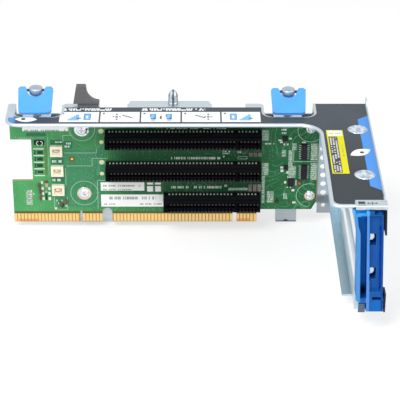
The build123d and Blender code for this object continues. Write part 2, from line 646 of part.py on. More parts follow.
# Half-turn latch: the post, its clip and pin turn together; the washer and spring lift them
def latch_post(side, x, pin_z):
    head_low = pin_z - HEAD_HALF_HEIGHT
    with BuildPart() as post:
        with BuildSketch(level_plane(head_low)):
            many_sided(x, POST_Y, HEAD_RADIUS, LARGE_ROUND)
        extrude(amount=2 * HEAD_HALF_HEIGHT - 0.9)
        with BuildSketch(level_plane(pin_z + HEAD_HALF_HEIGHT - 0.9)):
            many_sided(x, POST_Y, HEAD_RADIUS, LARGE_ROUND)
        extrude(amount=0.9, taper=45)
        with BuildSketch(level_plane(POST_BOTTOM)):
            with Locations((x, POST_Y)):
                Circle(POST_RADIUS)
        extrude(amount=head_low - POST_BOTTOM)
        # Flat that keys the lower end, and bore for the hinge pin
        with BuildSketch(level_plane(POST_BOTTOM)):
            rectangle(x - 3, x + 3, POST_Y + 0.5, POST_Y + 3)
        extrude(amount=6.0, mode=Mode.SUBTRACT)
        with BuildSketch(side_plane(x - HEAD_RADIUS - 1)):
            with Locations((POST_Y, pin_z)):
                Circle(PIN_RADIUS)
        extrude(amount=2 * HEAD_RADIUS + 2, mode=Mode.SUBTRACT)
    save(post, f"latch_post_{side}")


def latch_clip(side, x):
    with BuildPart() as clip:
        with BuildSketch(level_plane(SHELF_TOP - SHEET - 0.65)):
            many_sided(x, POST_Y, CLIP_RADIUS, SMALL_ROUND)
            with Locations((x, POST_Y)):
                Circle(POST_RADIUS, mode=Mode.SUBTRACT)
        extrude(amount=0.6)
    save(clip, f"latch_clip_{side}")


def latch_washer(side, x, pin_z):
    with BuildPart() as washer:
        with BuildSketch(level_plane(pin_z - HEAD_HALF_HEIGHT - WASHER_THICKNESS)):
            many_sided(x, POST_Y, WASHER_RADIUS, SMALL_ROUND)
            with Locations((x, POST_Y)):
                Circle(POST_RADIUS + RUNNING_GAP, mode=Mode.SUBTRACT)
        extrude(amount=WASHER_THICKNESS)
    save(washer, f"latch_washer_{side}")


def latch_spring(side, x, pin_z):
    """Coil of square wire, drawn as short straight steps round the post."""
    low = SHELF_TOP + SPRING_WIRE * 0.62
    rise = pin_z - HEAD_HALF_HEIGHT - WASHER_THICKNESS - SPRING_WIRE * 0.62 - low
    steps = SPRING_TURNS * SPRING_STEPS
    base = level_plane(0)
    points = []
    for n in range(steps + 1):
        turn = 2 * pi * n / SPRING_STEPS
        points.append((x + SPRING_RADIUS * cos(turn), POST_Y + SPRING_RADIUS * sin(turn),
                       low + rise * n / steps))
    with BuildPart() as spring:
        with BuildLine(base) as coil:
            Polyline(*points)
        with BuildSketch(Plane(coil.line @ 0, z_dir=coil.line % 0)):
            Rectangle(SPRING_WIRE, SPRING_WIRE)
        sweep(transition=Transition.RIGHT)
    save(spring, f"latch_spring_{side}")


def latch_pin(side, x, pin_z):
    with BuildPart() as pin:
        with BuildSketch(side_plane(x - 8.6)):
            with Locations((POST_Y, pin_z)):
                Circle(PIN_RADIUS)
        extrude(amount=17.2)
    save(pin, f"latch_pin_{side}")


def tab_lean(pin_z):
    """Angle below level at which the tab's tip just clears the printed label."""
    drop = pin_z - PLATE_TOP - LABEL_THICKNESS - TAB_TIP_CLEARANCE
    return asin(drop / hypot(TAB_LENGTH, TAB_THICKNESS / 2)) - atan(TAB_THICKNESS / 2 / TAB_LENGTH)


# Blue tab, hinged across the post's head; its fork clears the head at every angle
def latch_tab(side, x, pin_z):
    lean = tab_lean(pin_z)
    half_top = TAB_TOP_WIDTH / 2
    half_tip = TAB_TIP_WIDTH / 2
    # Sketch plane along the tab: its first axis is X, its second runs up the tab towards the heel
    face = Plane((SLOT_END_X + x, BOARD_FACE_Y + POST_Y, BOTTOM_SLOT_Z + pin_z), x_dir=(1, 0, 0),
                 z_dir=(0, -sin(lean), cos(lean)))
    with BuildPart() as tab:
        with BuildSketch(face.offset(-TAB_THICKNESS / 2)) as outline:
            with BuildLine():
                Polyline((-half_top, TAB_HEEL), (-half_tip, -TAB_LENGTH), (half_tip, -TAB_LENGTH),
                         (half_top, TAB_HEEL), close=True)
            make_face()
            fillet(corners_near(outline, [(-half_tip, -TAB_LENGTH), (half_tip, -TAB_LENGTH)]), 2.4)
            chamfer(corners_near(outline, [(-half_top, TAB_HEEL), (half_top, TAB_HEEL)]), 1.2)
            # Fork: a round seat that flares towards the heel
            RegularPolygon(TAB_SEAT_RADIUS, LARGE_ROUND, mode=Mode.SUBTRACT)
            with BuildLine():
                Polyline((-TAB_SEAT_RADIUS, 0), (-TAB_SEAT_FLARE, TAB_HEEL + 1),
                         (TAB_SEAT_FLARE, TAB_HEEL + 1), (TAB_SEAT_RADIUS, 0), close=True)
            make_face(mode=Mode.SUBTRACT)
        extrude(amount=TAB_THICKNESS)
        # Knuckles round the pin, and the bore
        for low, high in KNUCKLES:
            with BuildSketch(side_plane(x + low)):
                many_sided(POST_Y, pin_z, KNUCKLE_RADIUS, SMALL_ROUND)
            extrude(amount=high - low)
        with BuildSketch(side_plane(x - half_top)):
            with Locations((POST_Y, pin_z)):
                Circle(PIN_RADIUS + RUNNING_GAP)
        extrude(amount=2 * half_top, mode=Mode.SUBTRACT)
    save(tab, f"latch_tab_{side}")


# Alignment pin on the ear: a round shank with a nose in two steps of slope
def guide_pin():
    x, y = GUIDE_PIN
    with BuildPart() as pin:
        with BuildSketch(level_plane(PLATE_TOP)):
            with Locations((x, y)):
                Circle(GUIDE_PIN_RADIUS)
        extrude(amount=GUIDE_PIN_SHANK)
        for (radius, low), (next_radius, high) in zip(GUIDE_PIN_NOSE[:-1], GUIDE_PIN_NOSE[1:]):
            slope = degrees(atan((radius - next_radius) * cos(pi / LARGE_ROUND) / (high - low)))
            with BuildSketch(level_plane(PLATE_TOP + low)):
                many_sided(x, y, radius, LARGE_ROUND)
            extrude(amount=high - low, taper=slope)
    save(pin, "guide_pin")


# Cable hook clipped over the strip's back edge
def cable_hook():
    with BuildPart() as hook:
        with BuildSketch(front_plane(6.6)):
            with BuildLine():
                Polyline((-106.8, 59.6), (-104.9, 70.4), (-99.5, 70.4), (-99.1, 67.0))
                ThreePointArc((-99.1, 67.0), (-97.3, 63.2), (-92.2, 60.8))
                Polyline((-92.2, 60.8), (-92.0, 59.6), (-106.8, 59.6))
            make_face()
        extrude(amount=3.8)
        with BuildSketch(level_plane(PLATE_TOP)):
            rectangle(-104.4, -92.6, 3.4, 6.2)
        extrude(amount=2.4)
        fillet(hook.edges().filter_by(Axis.Y).group_by(Axis.Z)[-1], 0.8)
    save(hook, "cable_hook")


# Screws that hold the board, and the spacers behind it
def board_screws():
    with BuildPart() as screws:
        for x, z, radius in BOARD_SCREWS:
            with BuildSketch(front_plane(0)):
                many_sided(x, z, radius, LARGE_ROUND)
            extrude(amount=0.8)
            with BuildSketch(front_plane(-0.8)):
                many_sided(x, z, radius * 0.72, SMALL_ROUND)
            extrude(amount=1.4, taper=10)
            with BuildSketch(front_plane(5.6)):
                many_sided(x, z, SCREW_SHANK_RADIUS, 6)
            extrude(amount=5.6)
            with BuildSketch(front_plane(-2.2)):
                with Locations((x, z)):
                    Rectangle(0.7, 2.8)
                    Rectangle(2.8, 0.7)
            extrude(amount=-1.1, mode=Mode.SUBTRACT)
    save(screws, "board_screws")


def board_spacers():
    with BuildPart() as spacers:
        for x, z, _ in BOARD_SCREWS:
            with BuildSketch(front_plane(WALL_INNER_Y)):
                many_sided(x, z, 3.2, 6)
                many_sided(x, z, SCREW_HOLE_RADIUS, 6, mode=Mode.SUBTRACT)
            extrude(amount=WALL_INNER_Y - BOARD_THICKNESS)
    save(spacers, "board_spacers")


# Small parts on the board
def logic_chips():
    with BuildPart() as chips:
        for low, high, bottom, top in CHIPS:
            with BuildSketch(front_plane(-0.2)):
                rectangle(low, high, bottom, top)
            extrude(amount=1.5, taper=6)
    save(chips, "logic_chips")


def chip_leads():
    with BuildPart() as leads:
        for low, high, bottom, top in CHIPS:
            pitch = (top - bottom - 1.4) / (LEADS_EACH_SIDE - 1)
            for n in range(LEADS_EACH_SIDE):
                z = bottom + 0.7 + pitch * n
                with BuildSketch(level_plane(z - 0.25)):
                    for edge, out in ((low, -1), (high, 1)):
                        with BuildLine():
                            Polyline((edge + out * 0.02, -0.95), (edge + out * 1.3, 0),
                                     (edge + out * 0.7, 0), (edge + out * 0.02, -0.6), close=True)
                        make_face()
                extrude(amount=0.5)
    save(leads, "chip_leads")


def small_chips():
    with BuildPart() as chips:
        for low, high, bottom, top in ((12.2, 15.4, 37.4, 40.4), (16.2, 19.6, 8.2, 13.2),
                                       (13.4, 15.8, 19.2, 21.8), (-129.9, -124.0, 35.3, 37.8)):
            with BuildSketch(front_plane(0)):
                rectangle(low, high, bottom, top)
            extrude(amount=1.1, taper=6)
    save(chips, "small_chips")


def terminal_blocks():
    with BuildPart() as blocks:
        for low, high, bottom, top in ((-120.8, -113.8, 28.2, 34.8), (-120.7, -113.6, 15.3, 21.8),
                                       (-120.6, -113.4, 2.7, 9.4)):
            with BuildSketch(front_plane(0)):
                rectangle(low, high, bottom, top)
            extrude(amount=2.2)
            with BuildSketch(front_plane(-2.2)):
                rectangle(low + 1.3, high - 1.3, bottom + 1.2, top - 1.8)
            extrude(amount=-0.8, mode=Mode.SUBTRACT)
    save(blocks, "terminal_blocks")


def resistor_packs():
    with BuildPart() as packs:
        with BuildSketch(front_plane(0)):
            for bottom, top in ((4.9, 9.4), (27.6, 30.0)):
                for x in (-5.7, -3.1, -0.5):
                    rectangle(x - 1.0, x + 1.0, bottom, top)
        extrude(amount=0.6)
    save(packs, "resistor_packs")


def capacitors():
    spots = [(22.3, 10.3), (-127.9, 8.6), (-127.4, 4.6), (-127.4, 0.4), (-112.6, -2.2), (-115.8, -3.6)]
    with BuildPart() as parts:
        with BuildSketch(front_plane(0)):
            with Locations(spots):
                Rectangle(1.5, 2.6)
        extrude(amount=0.9)
    save(parts, "capacitors")


def board_labels():
    with BuildPart() as labels:
        with BuildSketch(front_plane(0)):
            rectangle(-136.2, -110.1, 43.8, 47.7)
            rectangle(-92.4, -67.1, 5.1, 10.6)
            rectangle(-92.4, -56.2, -5.5, 2.5)
            for x in (-63.8, -59.2):
                rectangle(x - 1.7, x + 1.7, 9.1, 10.4)
                rectangle(x - 1.7, x + 1.7, 4.5, 8.1)
        extrude(amount=0.1)
    save(labels, "board_labels")


cage_frame()
rear_bracket()
latch_keeper()
cage_joints()
instruction_label()
service_label()
riser_board()
edge_contacts()
for slot_name, slot_row, slot_length in SLOTS:
    card_slot(slot_name, slot_row, slot_length)
    slot_contacts(slot_name, slot_row, slot_length)
contact_tails()
board_screws()
board_spacers()
for latch_side, latch_x, latch_z in LATCHES:
    latch_post(latch_side, latch_x, latch_z)
    latch_clip(latch_side, latch_x)
    latch_washer(latch_side, latch_x, latch_z)
    latch_spring(latch_side, latch_x, latch_z)
    latch_pin(latch_side, latch_x, latch_z)
    latch_tab(latch_side, latch_x, latch_z)
guide_pin()
cable_hook()
card_latch()
card_latch_pin()
logic_chips()
chip_leads()
small_chips()
terminal_blocks()
resistor_packs()
capacitors()
board_labels()
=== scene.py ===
from math import pi, radians
import bmesh
import bpy
import numpy as np
from mathutils import Matrix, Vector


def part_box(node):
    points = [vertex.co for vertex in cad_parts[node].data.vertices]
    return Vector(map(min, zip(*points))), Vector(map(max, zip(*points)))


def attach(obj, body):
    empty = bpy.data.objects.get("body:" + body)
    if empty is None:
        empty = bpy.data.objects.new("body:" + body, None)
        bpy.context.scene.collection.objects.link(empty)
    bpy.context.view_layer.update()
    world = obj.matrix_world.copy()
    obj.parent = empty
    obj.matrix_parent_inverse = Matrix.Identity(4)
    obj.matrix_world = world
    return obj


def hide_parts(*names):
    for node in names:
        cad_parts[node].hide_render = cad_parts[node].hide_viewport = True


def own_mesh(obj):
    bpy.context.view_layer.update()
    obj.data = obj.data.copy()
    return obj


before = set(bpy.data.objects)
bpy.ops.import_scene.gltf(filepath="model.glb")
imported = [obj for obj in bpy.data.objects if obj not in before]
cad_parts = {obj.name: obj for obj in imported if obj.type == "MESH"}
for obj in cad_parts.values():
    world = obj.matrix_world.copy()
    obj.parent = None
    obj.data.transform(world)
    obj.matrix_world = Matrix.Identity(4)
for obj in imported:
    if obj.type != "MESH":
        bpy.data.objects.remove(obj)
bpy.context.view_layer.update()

# Looks of a riser cage: folded plated sheet with a printed label, an upright riser board with three card
# slots, blue moulded latches and a bright guide pin. Metres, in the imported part's own frame.

MM = 0.001

# The slots' datum, from which places are measured in millimetres: the right end of the slots, the
# board's face and the middle of the bottom slot
DATUM_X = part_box("card_slot_top")[1][0]
DATUM_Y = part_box("riser_board")[0][1]
DATUM_Z = (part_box("card_slot_bottom")[0][2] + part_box("card_slot_bottom")[1][2]) / 2

SLOT_PITCH = 20.32
CONTACT_PITCH = 2.0


# Short calls that add nodes to one tree
class Wiring:
    def __init__(self, tree):
        self.tree = tree

    def add(self, kind, inputs=None, **settings):
        """A node with its settings; an input is a number, a colour or another node's socket."""
        node = self.tree.nodes.new(kind)
        for name, value in settings.items():
            setattr(node, name, value)
        for key, value in (inputs or {}).items():
            if isinstance(value, bpy.types.NodeSocket):
                self.tree.links.new(value, node.inputs[key])
            else:
                node.inputs[key].default_value = value
        return node

    def math(self, operation, a, b=0.0, clamp=False):
        return self.add("ShaderNodeMath", {0: a, 1: b}, operation=operation, use_clamp=clamp).outputs[0]

    def times(self, a, b):
        return self.math("MULTIPLY", a, b)

    def plus(self, a, b):
        return self.math("ADD", a, b)

    def minus(self, a, b):
        return self.math("SUBTRACT", a, b)

    def absolute(self, value):
        return self.math("ABSOLUTE", value)

    def above(self, value, edge):
        """1 where the value is over the edge, else 0."""
        return self.math("GREATER_THAN", value, edge)

    def below(self, value, edge):
        return self.math("LESS_THAN", value, edge)

    def change(self, value, low, high, to_low=0.0, to_high=1.0):
        """Value carried from one range to another and held within it."""
        node = self.add("ShaderNodeMapRange", {0: value, 1: low, 2: high, 3: to_low, 4: to_high})
        return node.outputs[0]

    def past(self, value, edge, softness):
        """Soft step up from 0 to 1 round an edge."""
        return self.change(value, edge - softness, edge + softness)

    def before(self, value, edge, softness):
        """Soft step down from 1 to 0 round an edge."""
        return self.change(value, edge - softness, edge + softness, 1.0, 0.0)

    def vector(self, operation, a, b, output=0):
        return self.add("ShaderNodeVectorMath", {0: a, 1: b}, operation=operation).outputs[output]

    def mix(self, factor, a, b):
        """Colour that goes from a to b with the factor; a plain colour is its red, green and blue."""
        a, b = (colour + (1,) if isinstance(colour, tuple) else colour for colour in (a, b))
        return self.add("ShaderNodeMix", {0: factor, 6: a, 7: b}, data_type="RGBA").outputs[2]

    def noise(self, place, scale, detail=2.0, roughness=0.5):
        values = {"Vector": place, "Scale": scale, "Detail": detail, "Roughness": roughness}
        return self.add("ShaderNodeTexNoise", values).outputs[0]

    def parts(self, place):
        """The three components of a vector."""
        return self.add("ShaderNodeSeparateXYZ", {0: place}).outputs

    def join(self, x, y, z=0.0):
        return self.add("ShaderNodeCombineXYZ", {0: x, 1: y, 2: z}).outputs[0]

    def facing(self):
        """The way the flat face looks."""
        return self.add("ShaderNodeNewGeometry").outputs["True Normal"]

    def group(self, tree, **inputs):
        """A shared effect with this material's own values; spaces in input names are written as _."""
        values = {name.replace("_", " "): value for name, value in inputs.items()}
        return self.add("ShaderNodeGroup", values, node_tree=tree).outputs

    def bar(self, place, left, right, low, high):
        return self.group(BAR, Place=place, Left=left, Right=right, Low=low, High=high)["Mask"]

    def dashes(self, place, left, right, low, high, dash, rows=1.0):
        return self.group(DASHES, Place=place, Left=left, Right=right, Low=low, High=high, Rows=rows,
                          Dash=dash)["Mask"]

    def disc(self, place, across, up, radius):
        return self.group(DISC, Place=place, Across=across, Up=up, Radius=radius)["Mask"]

    def lens(self, place, across, up, half_length, half_width, turn):
        return self.group(LENS, Place=place, Across=across, Up=up, Half_length=half_length,
                          Half_width=half_width, Turn=turn)["Mask"]


def new_group(name, inputs, outputs):
    """Empty node group with named sockets; inputs give (name, default), None marks a vector."""
    tree = bpy.data.node_groups.new(name, "ShaderNodeTree")
    for label, default in inputs:
        kind = "NodeSocketVector" if default is None else "NodeSocketFloat"
        socket = tree.interface.new_socket(label, in_out="INPUT", socket_type=kind)
        if default is not None:
            socket.default_value = default
    for label in outputs:
        tree.interface.new_socket(label, in_out="OUTPUT", socket_type="NodeSocketFloat")
    wiring = Wiring(tree)
    return wiring, wiring.add("NodeGroupInput").outputs, wiring.add("NodeGroupOutput")


def send(wiring, out, **results):
    """Wire results to a group's outputs."""
    for name, socket in results.items():
        wiring.tree.links.new(socket, out.inputs[name])


# Printed shapes, each a soft-edged mask on a flat face; places and sizes are in millimetres
EDGE_SHARPNESS = 9.0
DASH_CHANCE_LEFT_OUT = 0.3
BAR_INPUTS = [("Place", None), ("Left", 0.0), ("Right", 1.0), ("Low", 0.0), ("High", 1.0)]


def sharpened(w, depth):
    """Mask from the depth inside an edge: half covered on the edge itself."""
    return w.math("ADD", w.times(depth, EDGE_SHARPNESS), 0.5, clamp=True)


def make_printed_bar():
    """Rectangle: its depth is the least distance to the four sides."""
    w, given, out = new_group("printed bar", BAR_INPUTS, ["Mask"])
    x, y, _ = w.parts(given["Place"])
    across = w.math("MINIMUM", w.minus(x, given["Left"]), w.minus(given["Right"], x))
    along = w.math("MINIMUM", w.minus(y, given["Low"]), w.minus(given["High"], y))
    send(w, out, Mask=sharpened(w, w.math("MINIMUM", across, along)))
    return w.tree


def make_printed_disc():
    """Round spot: its depth is the radius less the distance from the middle."""
    inputs = [("Place", None), ("Across", 0.0), ("Up", 0.0), ("Radius", 1.0)]
    w, given, out = new_group("printed disc", inputs, ["Mask"])
    x, y, _ = w.parts(given["Place"])
    away = w.join(w.minus(x, given["Across"]), w.minus(y, given["Up"]))
    send(w, out, Mask=sharpened(w, w.minus(given["Radius"], w.vector("LENGTH", away, (0, 0, 0), "Value"))))
    return w.tree


def make_printed_lens():
    """Pointed oval: its half width falls off with the square of the distance along it."""
    inputs = [("Place", None), ("Across", 0.0), ("Up", 0.0), ("Half length", 5.0), ("Half width", 2.0),
              ("Turn", 0.0)]
    w, given, out = new_group("printed lens", inputs, ["Mask"])
    x, y, _ = w.parts(given["Place"])
    x = w.minus(x, given["Across"])
    y = w.minus(y, given["Up"])
    cosine = w.math("COSINE", given["Turn"])
    sine = w.math("SINE", given["Turn"])
    along = w.plus(w.times(x, cosine), w.times(y, sine))
    side = w.minus(w.times(y, cosine), w.times(x, sine))
    share = w.math("DIVIDE", along, given["Half length"])
    room = w.times(w.minus(1.0, w.times(share, share)), given["Half width"])
    send(w, out, Mask=sharpened(w, w.minus(room, w.absolute(side))))
    return w.tree


def make_printed_dashes():
    """Rows of short dashes inside a bar: a chance drawn for each cell leaves some out and sets the length of
    the rest."""
    w, given, out = new_group("printed dashes", BAR_INPUTS + [("Rows", 2.0), ("Dash", 1.0)], ["Mask"])
    x, y, _ = w.parts(given["Place"])
    height = w.minus(given["High"], given["Low"])
    rows = w.times(w.math("DIVIDE", w.minus(y, given["Low"]), height), given["Rows"])
    cells = w.math("DIVIDE", w.minus(x, given["Left"]), given["Dash"])
    cell = w.join(w.math("FLOOR", cells), w.math("FLOOR", rows))
    chance = w.add("ShaderNodeTexWhiteNoise", {"Vector": cell}, noise_dimensions="2D").outputs["Value"]
    kept = w.above(chance, DASH_CHANCE_LEFT_OUT)
    within_row = w.before(w.absolute(w.minus(w.math("FRACT", rows), 0.5)), 0.3, 0.05)
    within_cell = w.below(w.math("FRACT", cells), w.change(chance, DASH_CHANCE_LEFT_OUT, 1.0, 0.55, 0.95))
    inside = w.bar(given["Place"], given["Left"], given["Right"], given["Low"], given["High"])
    send(w, out, Mask=w.times(w.times(kept, within_row), w.times(within_cell, inside)))
    return w.tree


# Surface effects that several finishes share
def make_sheet_grain():
    """Rolled grain: noise drawn out along one direction, with broad cloudy smudges over it."""
    w, given, out = new_group("rolled grain", [("Place", None), ("Stretch", None), ("Scale", 3.0)],
                              ["Grain", "Smudge"])
    streaks = w.noise(w.vector("MULTIPLY", given["Place"], given["Stretch"]), given["Scale"], 5.0, 0.7)
    smudge = w.noise(given["Place"], 0.045, 3.0, 0.55)
    send(w, out, Grain=w.change(streaks, 0.3, 0.7), Smudge=w.change(smudge, 0.35, 0.68))
    return w.tree


def make_rubbed_and_highlight_edge():
    """Rubbed edges that also carry painted highlight: where the rounded normal leaves the flat one, broken up
    by noise.
    """
    w, given, out = new_group("rubbed and highlight edge", [("Rounded", None), ("Place", None), ("Amount", 1.0)], ["Mask"])
    turned_away = w.minus(1.0, w.vector("DOT_PRODUCT", given["Rounded"], w.facing(), "Value"))
    edge = w.change(turned_away, 0.01, 0.16)
    broken = w.change(w.noise(given["Place"], 0.9, 4.0, 0.6), 0.35, 0.6, 0.25, 1.0)
    send(w, out, Mask=w.math("MULTIPLY", w.times(edge, broken), given["Amount"], clamp=True))
    return w.tree


def make_fine_speckle():
    """Moulding texture: fine cells mixed with a slow change of tone."""
    w, given, out = new_group("fine speckle", [("Place", None), ("Scale", 4.0)], ["Speckle", "Tone"])
    speckle = w.noise(given["Place"], given["Scale"], 3.0, 0.65)
    tone = w.noise(given["Place"], 0.08, 2.0, 0.5)
    send(w, out, Speckle=w.change(speckle, 0.3, 0.7), Tone=w.change(tone, 0.35, 0.65))
    return w.tree


BAR = make_printed_bar()
DISC = make_printed_disc()
LENS = make_printed_lens()
DASHES = make_printed_dashes()
GRAIN = make_sheet_grain()
RUBBED_AND_HIGHLIGHT = make_rubbed_and_highlight_edge()
SPECKLE = make_fine_speckle()


# Short calls for one new material
class Finish(Wiring):
    def __init__(self, name, **shader_values):
        """Material with a Principled shader; spaces in the shader's input names are written as _."""
        self.material = bpy.data.materials.new(name)
        self.material.use_nodes = True
        super().__init__(self.material.node_tree)
        self.tree.nodes.clear()
        values = {key.replace("_", " "): value for key, value in shader_values.items()}
        self.shader = self.add("ShaderNodeBsdfPrincipled", values)
        self.output = self.add("ShaderNodeOutputMaterial", {"Surface": self.shader.outputs[0]})

    def place(self):
        """Place on the object in millimetres from the slots' datum."""
        coordinates = self.add("ShaderNodeTexCoord").outputs["Object"]
        scale = 1 / MM
        shift = (-DATUM_X * scale, -DATUM_Y * scale, -DATUM_Z * scale)
        values = {"Vector": coordinates, "Location": shift, "Scale": (scale, scale, scale)}
        return self.add("ShaderNodeMapping", values).outputs[0]

    def on_front(self, place):
        """Place on a front face: across and up."""
        x, _, z = self.parts(place)
        return self.join(x, z)

    def forward(self):
        """Mask of the faces that look to the front."""
        return self.below(self.parts(self.facing())[1], -0.5)

    def rounded(self, radius_mm):
        """Normal that rolls over sharp edges."""
        return self.add("ShaderNodeBevel", {"Radius": radius_mm * MM}, samples=4).outputs[0]

    def bumped(self, height, strength, distance_mm, normal):
        values = {"Height": height, "Strength": strength, "Distance": distance_mm * MM, "Normal": normal}
        return self.add("ShaderNodeBump", values).outputs[0]

    def grain(self, place, stretch, scale):
        return self.group(GRAIN, Place=place, Stretch=stretch, Scale=scale)

    # Mask of rubbed edges, which also paints highlight on them
    def rubbed_and_highlight(self, normal, place, amount):
        return self.group(RUBBED_AND_HIGHLIGHT, Rounded=normal, Place=place, Amount=amount)["Mask"]

    def speckle(self, place, scale):
        return self.group(SPECKLE, Place=place, Scale=scale)

    def spread(self, share, low, high):
        """A share from 0 to 1 carried to a range."""
        return self.change(share, 0, 1, low, high)

    def print_over(self, tone, layers):
        """Lay printed colours over a tone, in order; a layer is a mask and its colour."""
        for mask, colour in layers:
            tone = self.mix(mask, tone, colour)
        return tone

    def done(self, tone, roughness=None, normal=None):
        """The material, with what varies over its surface wired to the shader."""
        for name, socket in (("Base Color", tone), ("Roughness", roughness), ("Normal", normal)):
            if socket is not None:
                self.tree.links.new(socket, self.shader.inputs[name])
        return self.material


# Paler tone of rubbed edges, which also stands for painted highlight
RUBBED_AND_HIGHLIGHT_METAL = (0.72, 0.81, 0.86)
# Painted shade on faces of the sheet that stand in shade
PAINTED_SHADE_METAL = (0.13, 0.15, 0.16)
SHEET_EDGE_RADIUS = 0.35
SHEET_GRAIN_SCALE = 0.6
MOULDING_EDGE_RADIUS = 0.4
MOULDING_SPECKLE_SCALE = 3.0
LABEL_SPECKLE_SCALE = 2.0
# Strength of a bump and its height in millimetres
GRAIN_BUMP = (0.12, 0.03)
SPECKLE_BUMP = (0.1, 0.02)


def plated_sheet(name, colour, shade, stretch, roughness, edge, painted_shade_fields=()):
    """Rolled sheet: streaks and smudges shift its tone and gloss, and its edges are rubbed bright and carry
    painted highlight. A field of painted shade is left, right, low and high on the faces that look forward,
    and how dark it is painted."""
    w = Finish(name, Metallic=0.9)
    place = w.place()
    normal = w.rounded(SHEET_EDGE_RADIUS)
    grain = w.grain(place, stretch, SHEET_GRAIN_SCALE)
    tone = w.mix(w.times(grain["Grain"], 0.5), colour, shade)
    tone = w.mix(w.times(grain["Smudge"], 0.3), tone, shade)
    for *field, amount in painted_shade_fields:
        painted_shade = w.times(w.forward(), w.bar(w.on_front(place), *field))
        tone = w.mix(w.times(painted_shade, amount), tone, PAINTED_SHADE_METAL)
    tone = w.mix(w.rubbed_and_highlight(normal, place, edge), tone, RUBBED_AND_HIGHLIGHT_METAL)
    streaks = w.spread(grain["Grain"], roughness - 0.05, roughness + 0.07)
    return w.done(tone, w.plus(streaks, w.times(grain["Smudge"], 0.08)),
                  w.bumped(grain["Grain"], *GRAIN_BUMP, normal))


def moulded(name, colour, shade, pale, roughness, scale=MOULDING_SPECKLE_SCALE, shine=0.25):
    """Moulded plastic: fine speckle in height and gloss, slow changes of tone, paler edges from rubbing and
    painted highlight.
    """
    w = Finish(name, Specular_IOR_Level=shine)
    place = w.place()
    normal = w.rounded(MOULDING_EDGE_RADIUS)
    speckle = w.speckle(place, scale)
    tone = w.mix(w.rubbed_and_highlight(normal, place, 0.35), w.mix(speckle["Tone"], colour, shade), pale)
    return w.done(tone, w.spread(speckle["Speckle"], roughness - 0.06, roughness + 0.08),
                  w.bumped(speckle["Speckle"], *SPECKLE_BUMP, normal))


# Where painted shade falls on the bracket: its return, and its hinge ears below the bright tongues
RETURN_LEFT = 59.2
RETURN_BACK = -103.5
EARS_BACK = -107.0
EARS_TOP = 6.0


def bracket_sheet():
    """Teal-grey sheet, brighter on its upright wall, with painted shade on the return and the hinge ears."""
    w = Finish("bracket sheet", Metallic=0.9)
    place = w.place()
    across, along, up = w.parts(place)
    normal = w.rounded(SHEET_EDGE_RADIUS)
    grain = w.grain(place, (1.0, 0.15, 1.0), SHEET_GRAIN_SCALE)
    tone = w.mix(w.times(grain["Grain"], 0.5), (0.56, 0.69, 0.76), (0.44, 0.57, 0.64))
    sideways = w.absolute(w.parts(w.facing())[0])
    tone = w.mix(w.above(sideways, 0.7), tone, (0.56, 0.69, 0.77))
    # Edges paler from rubbing and from painted highlight
    tone = w.mix(w.rubbed_and_highlight(normal, place, 0.8), tone, (0.66, 0.76, 0.82))
    ahead = w.below(along, EARS_BACK)
    raised = w.above(up, EARS_TOP)
    ears = w.times(ahead, w.minus(1.0, raised))
    # Painted shade on the hinge ears
    tone = w.mix(w.times(ears, 0.9), tone, (0.06, 0.11, 0.17))
    tone = w.mix(w.times(ahead, raised), tone, (0.72, 0.78, 0.86))
    # Painted shade on the return
    painted_return_shade = w.times(w.above(across, RETURN_LEFT), w.below(along, RETURN_BACK))
    tone = w.mix(painted_return_shade, tone, (0.025, 0.03, 0.04))
    return w.done(tone, w.spread(grain["Grain"], 0.31, 0.43), w.bumped(grain["Grain"], *GRAIN_BUMP, normal))


# Sloping lines on the card latch: X where each crosses the bottom slot's height, and its lean with height
LATCH_LEFT_WALL = (48.6, -0.032)
LATCH_RIB_LEFT = (51.6, -0.036)
LATCH_RIB_RIGHT = (53.4, -0.044)
LATCH_GROOVE = (57.9, -0.038)
LATCH_LIP = (59.4, -0.038)
# Its front face, and how far behind that the crown, the groove and the channel's floor begin
LATCH_FRONT = -115.0
CROWN_BEHIND = 3.4
GROOVE_BEHIND = 1.8
CHANNEL_BEHIND = 5.75
# Heights on it where its painted light and shade change: the foot's top, the channel's bottom painted in
# shade and the span where painted light brightens it, the pad, the recess and the crown
LATCH_FOOT_TOP = 2.0
CHANNEL_SHADE = 8.0
CHANNEL_PAINTED_LIGHT = (38.0, 50.0)
LATCH_PAD = 53.5
LATCH_RECESS = 54.1
LATCH_CROWN = 54.75
# The recess's left and right sides, and how far the latch's edges roll over
RECESS_SIDES = (53.5, 58.5)
LATCH_EDGE_RADIUS = 0.7


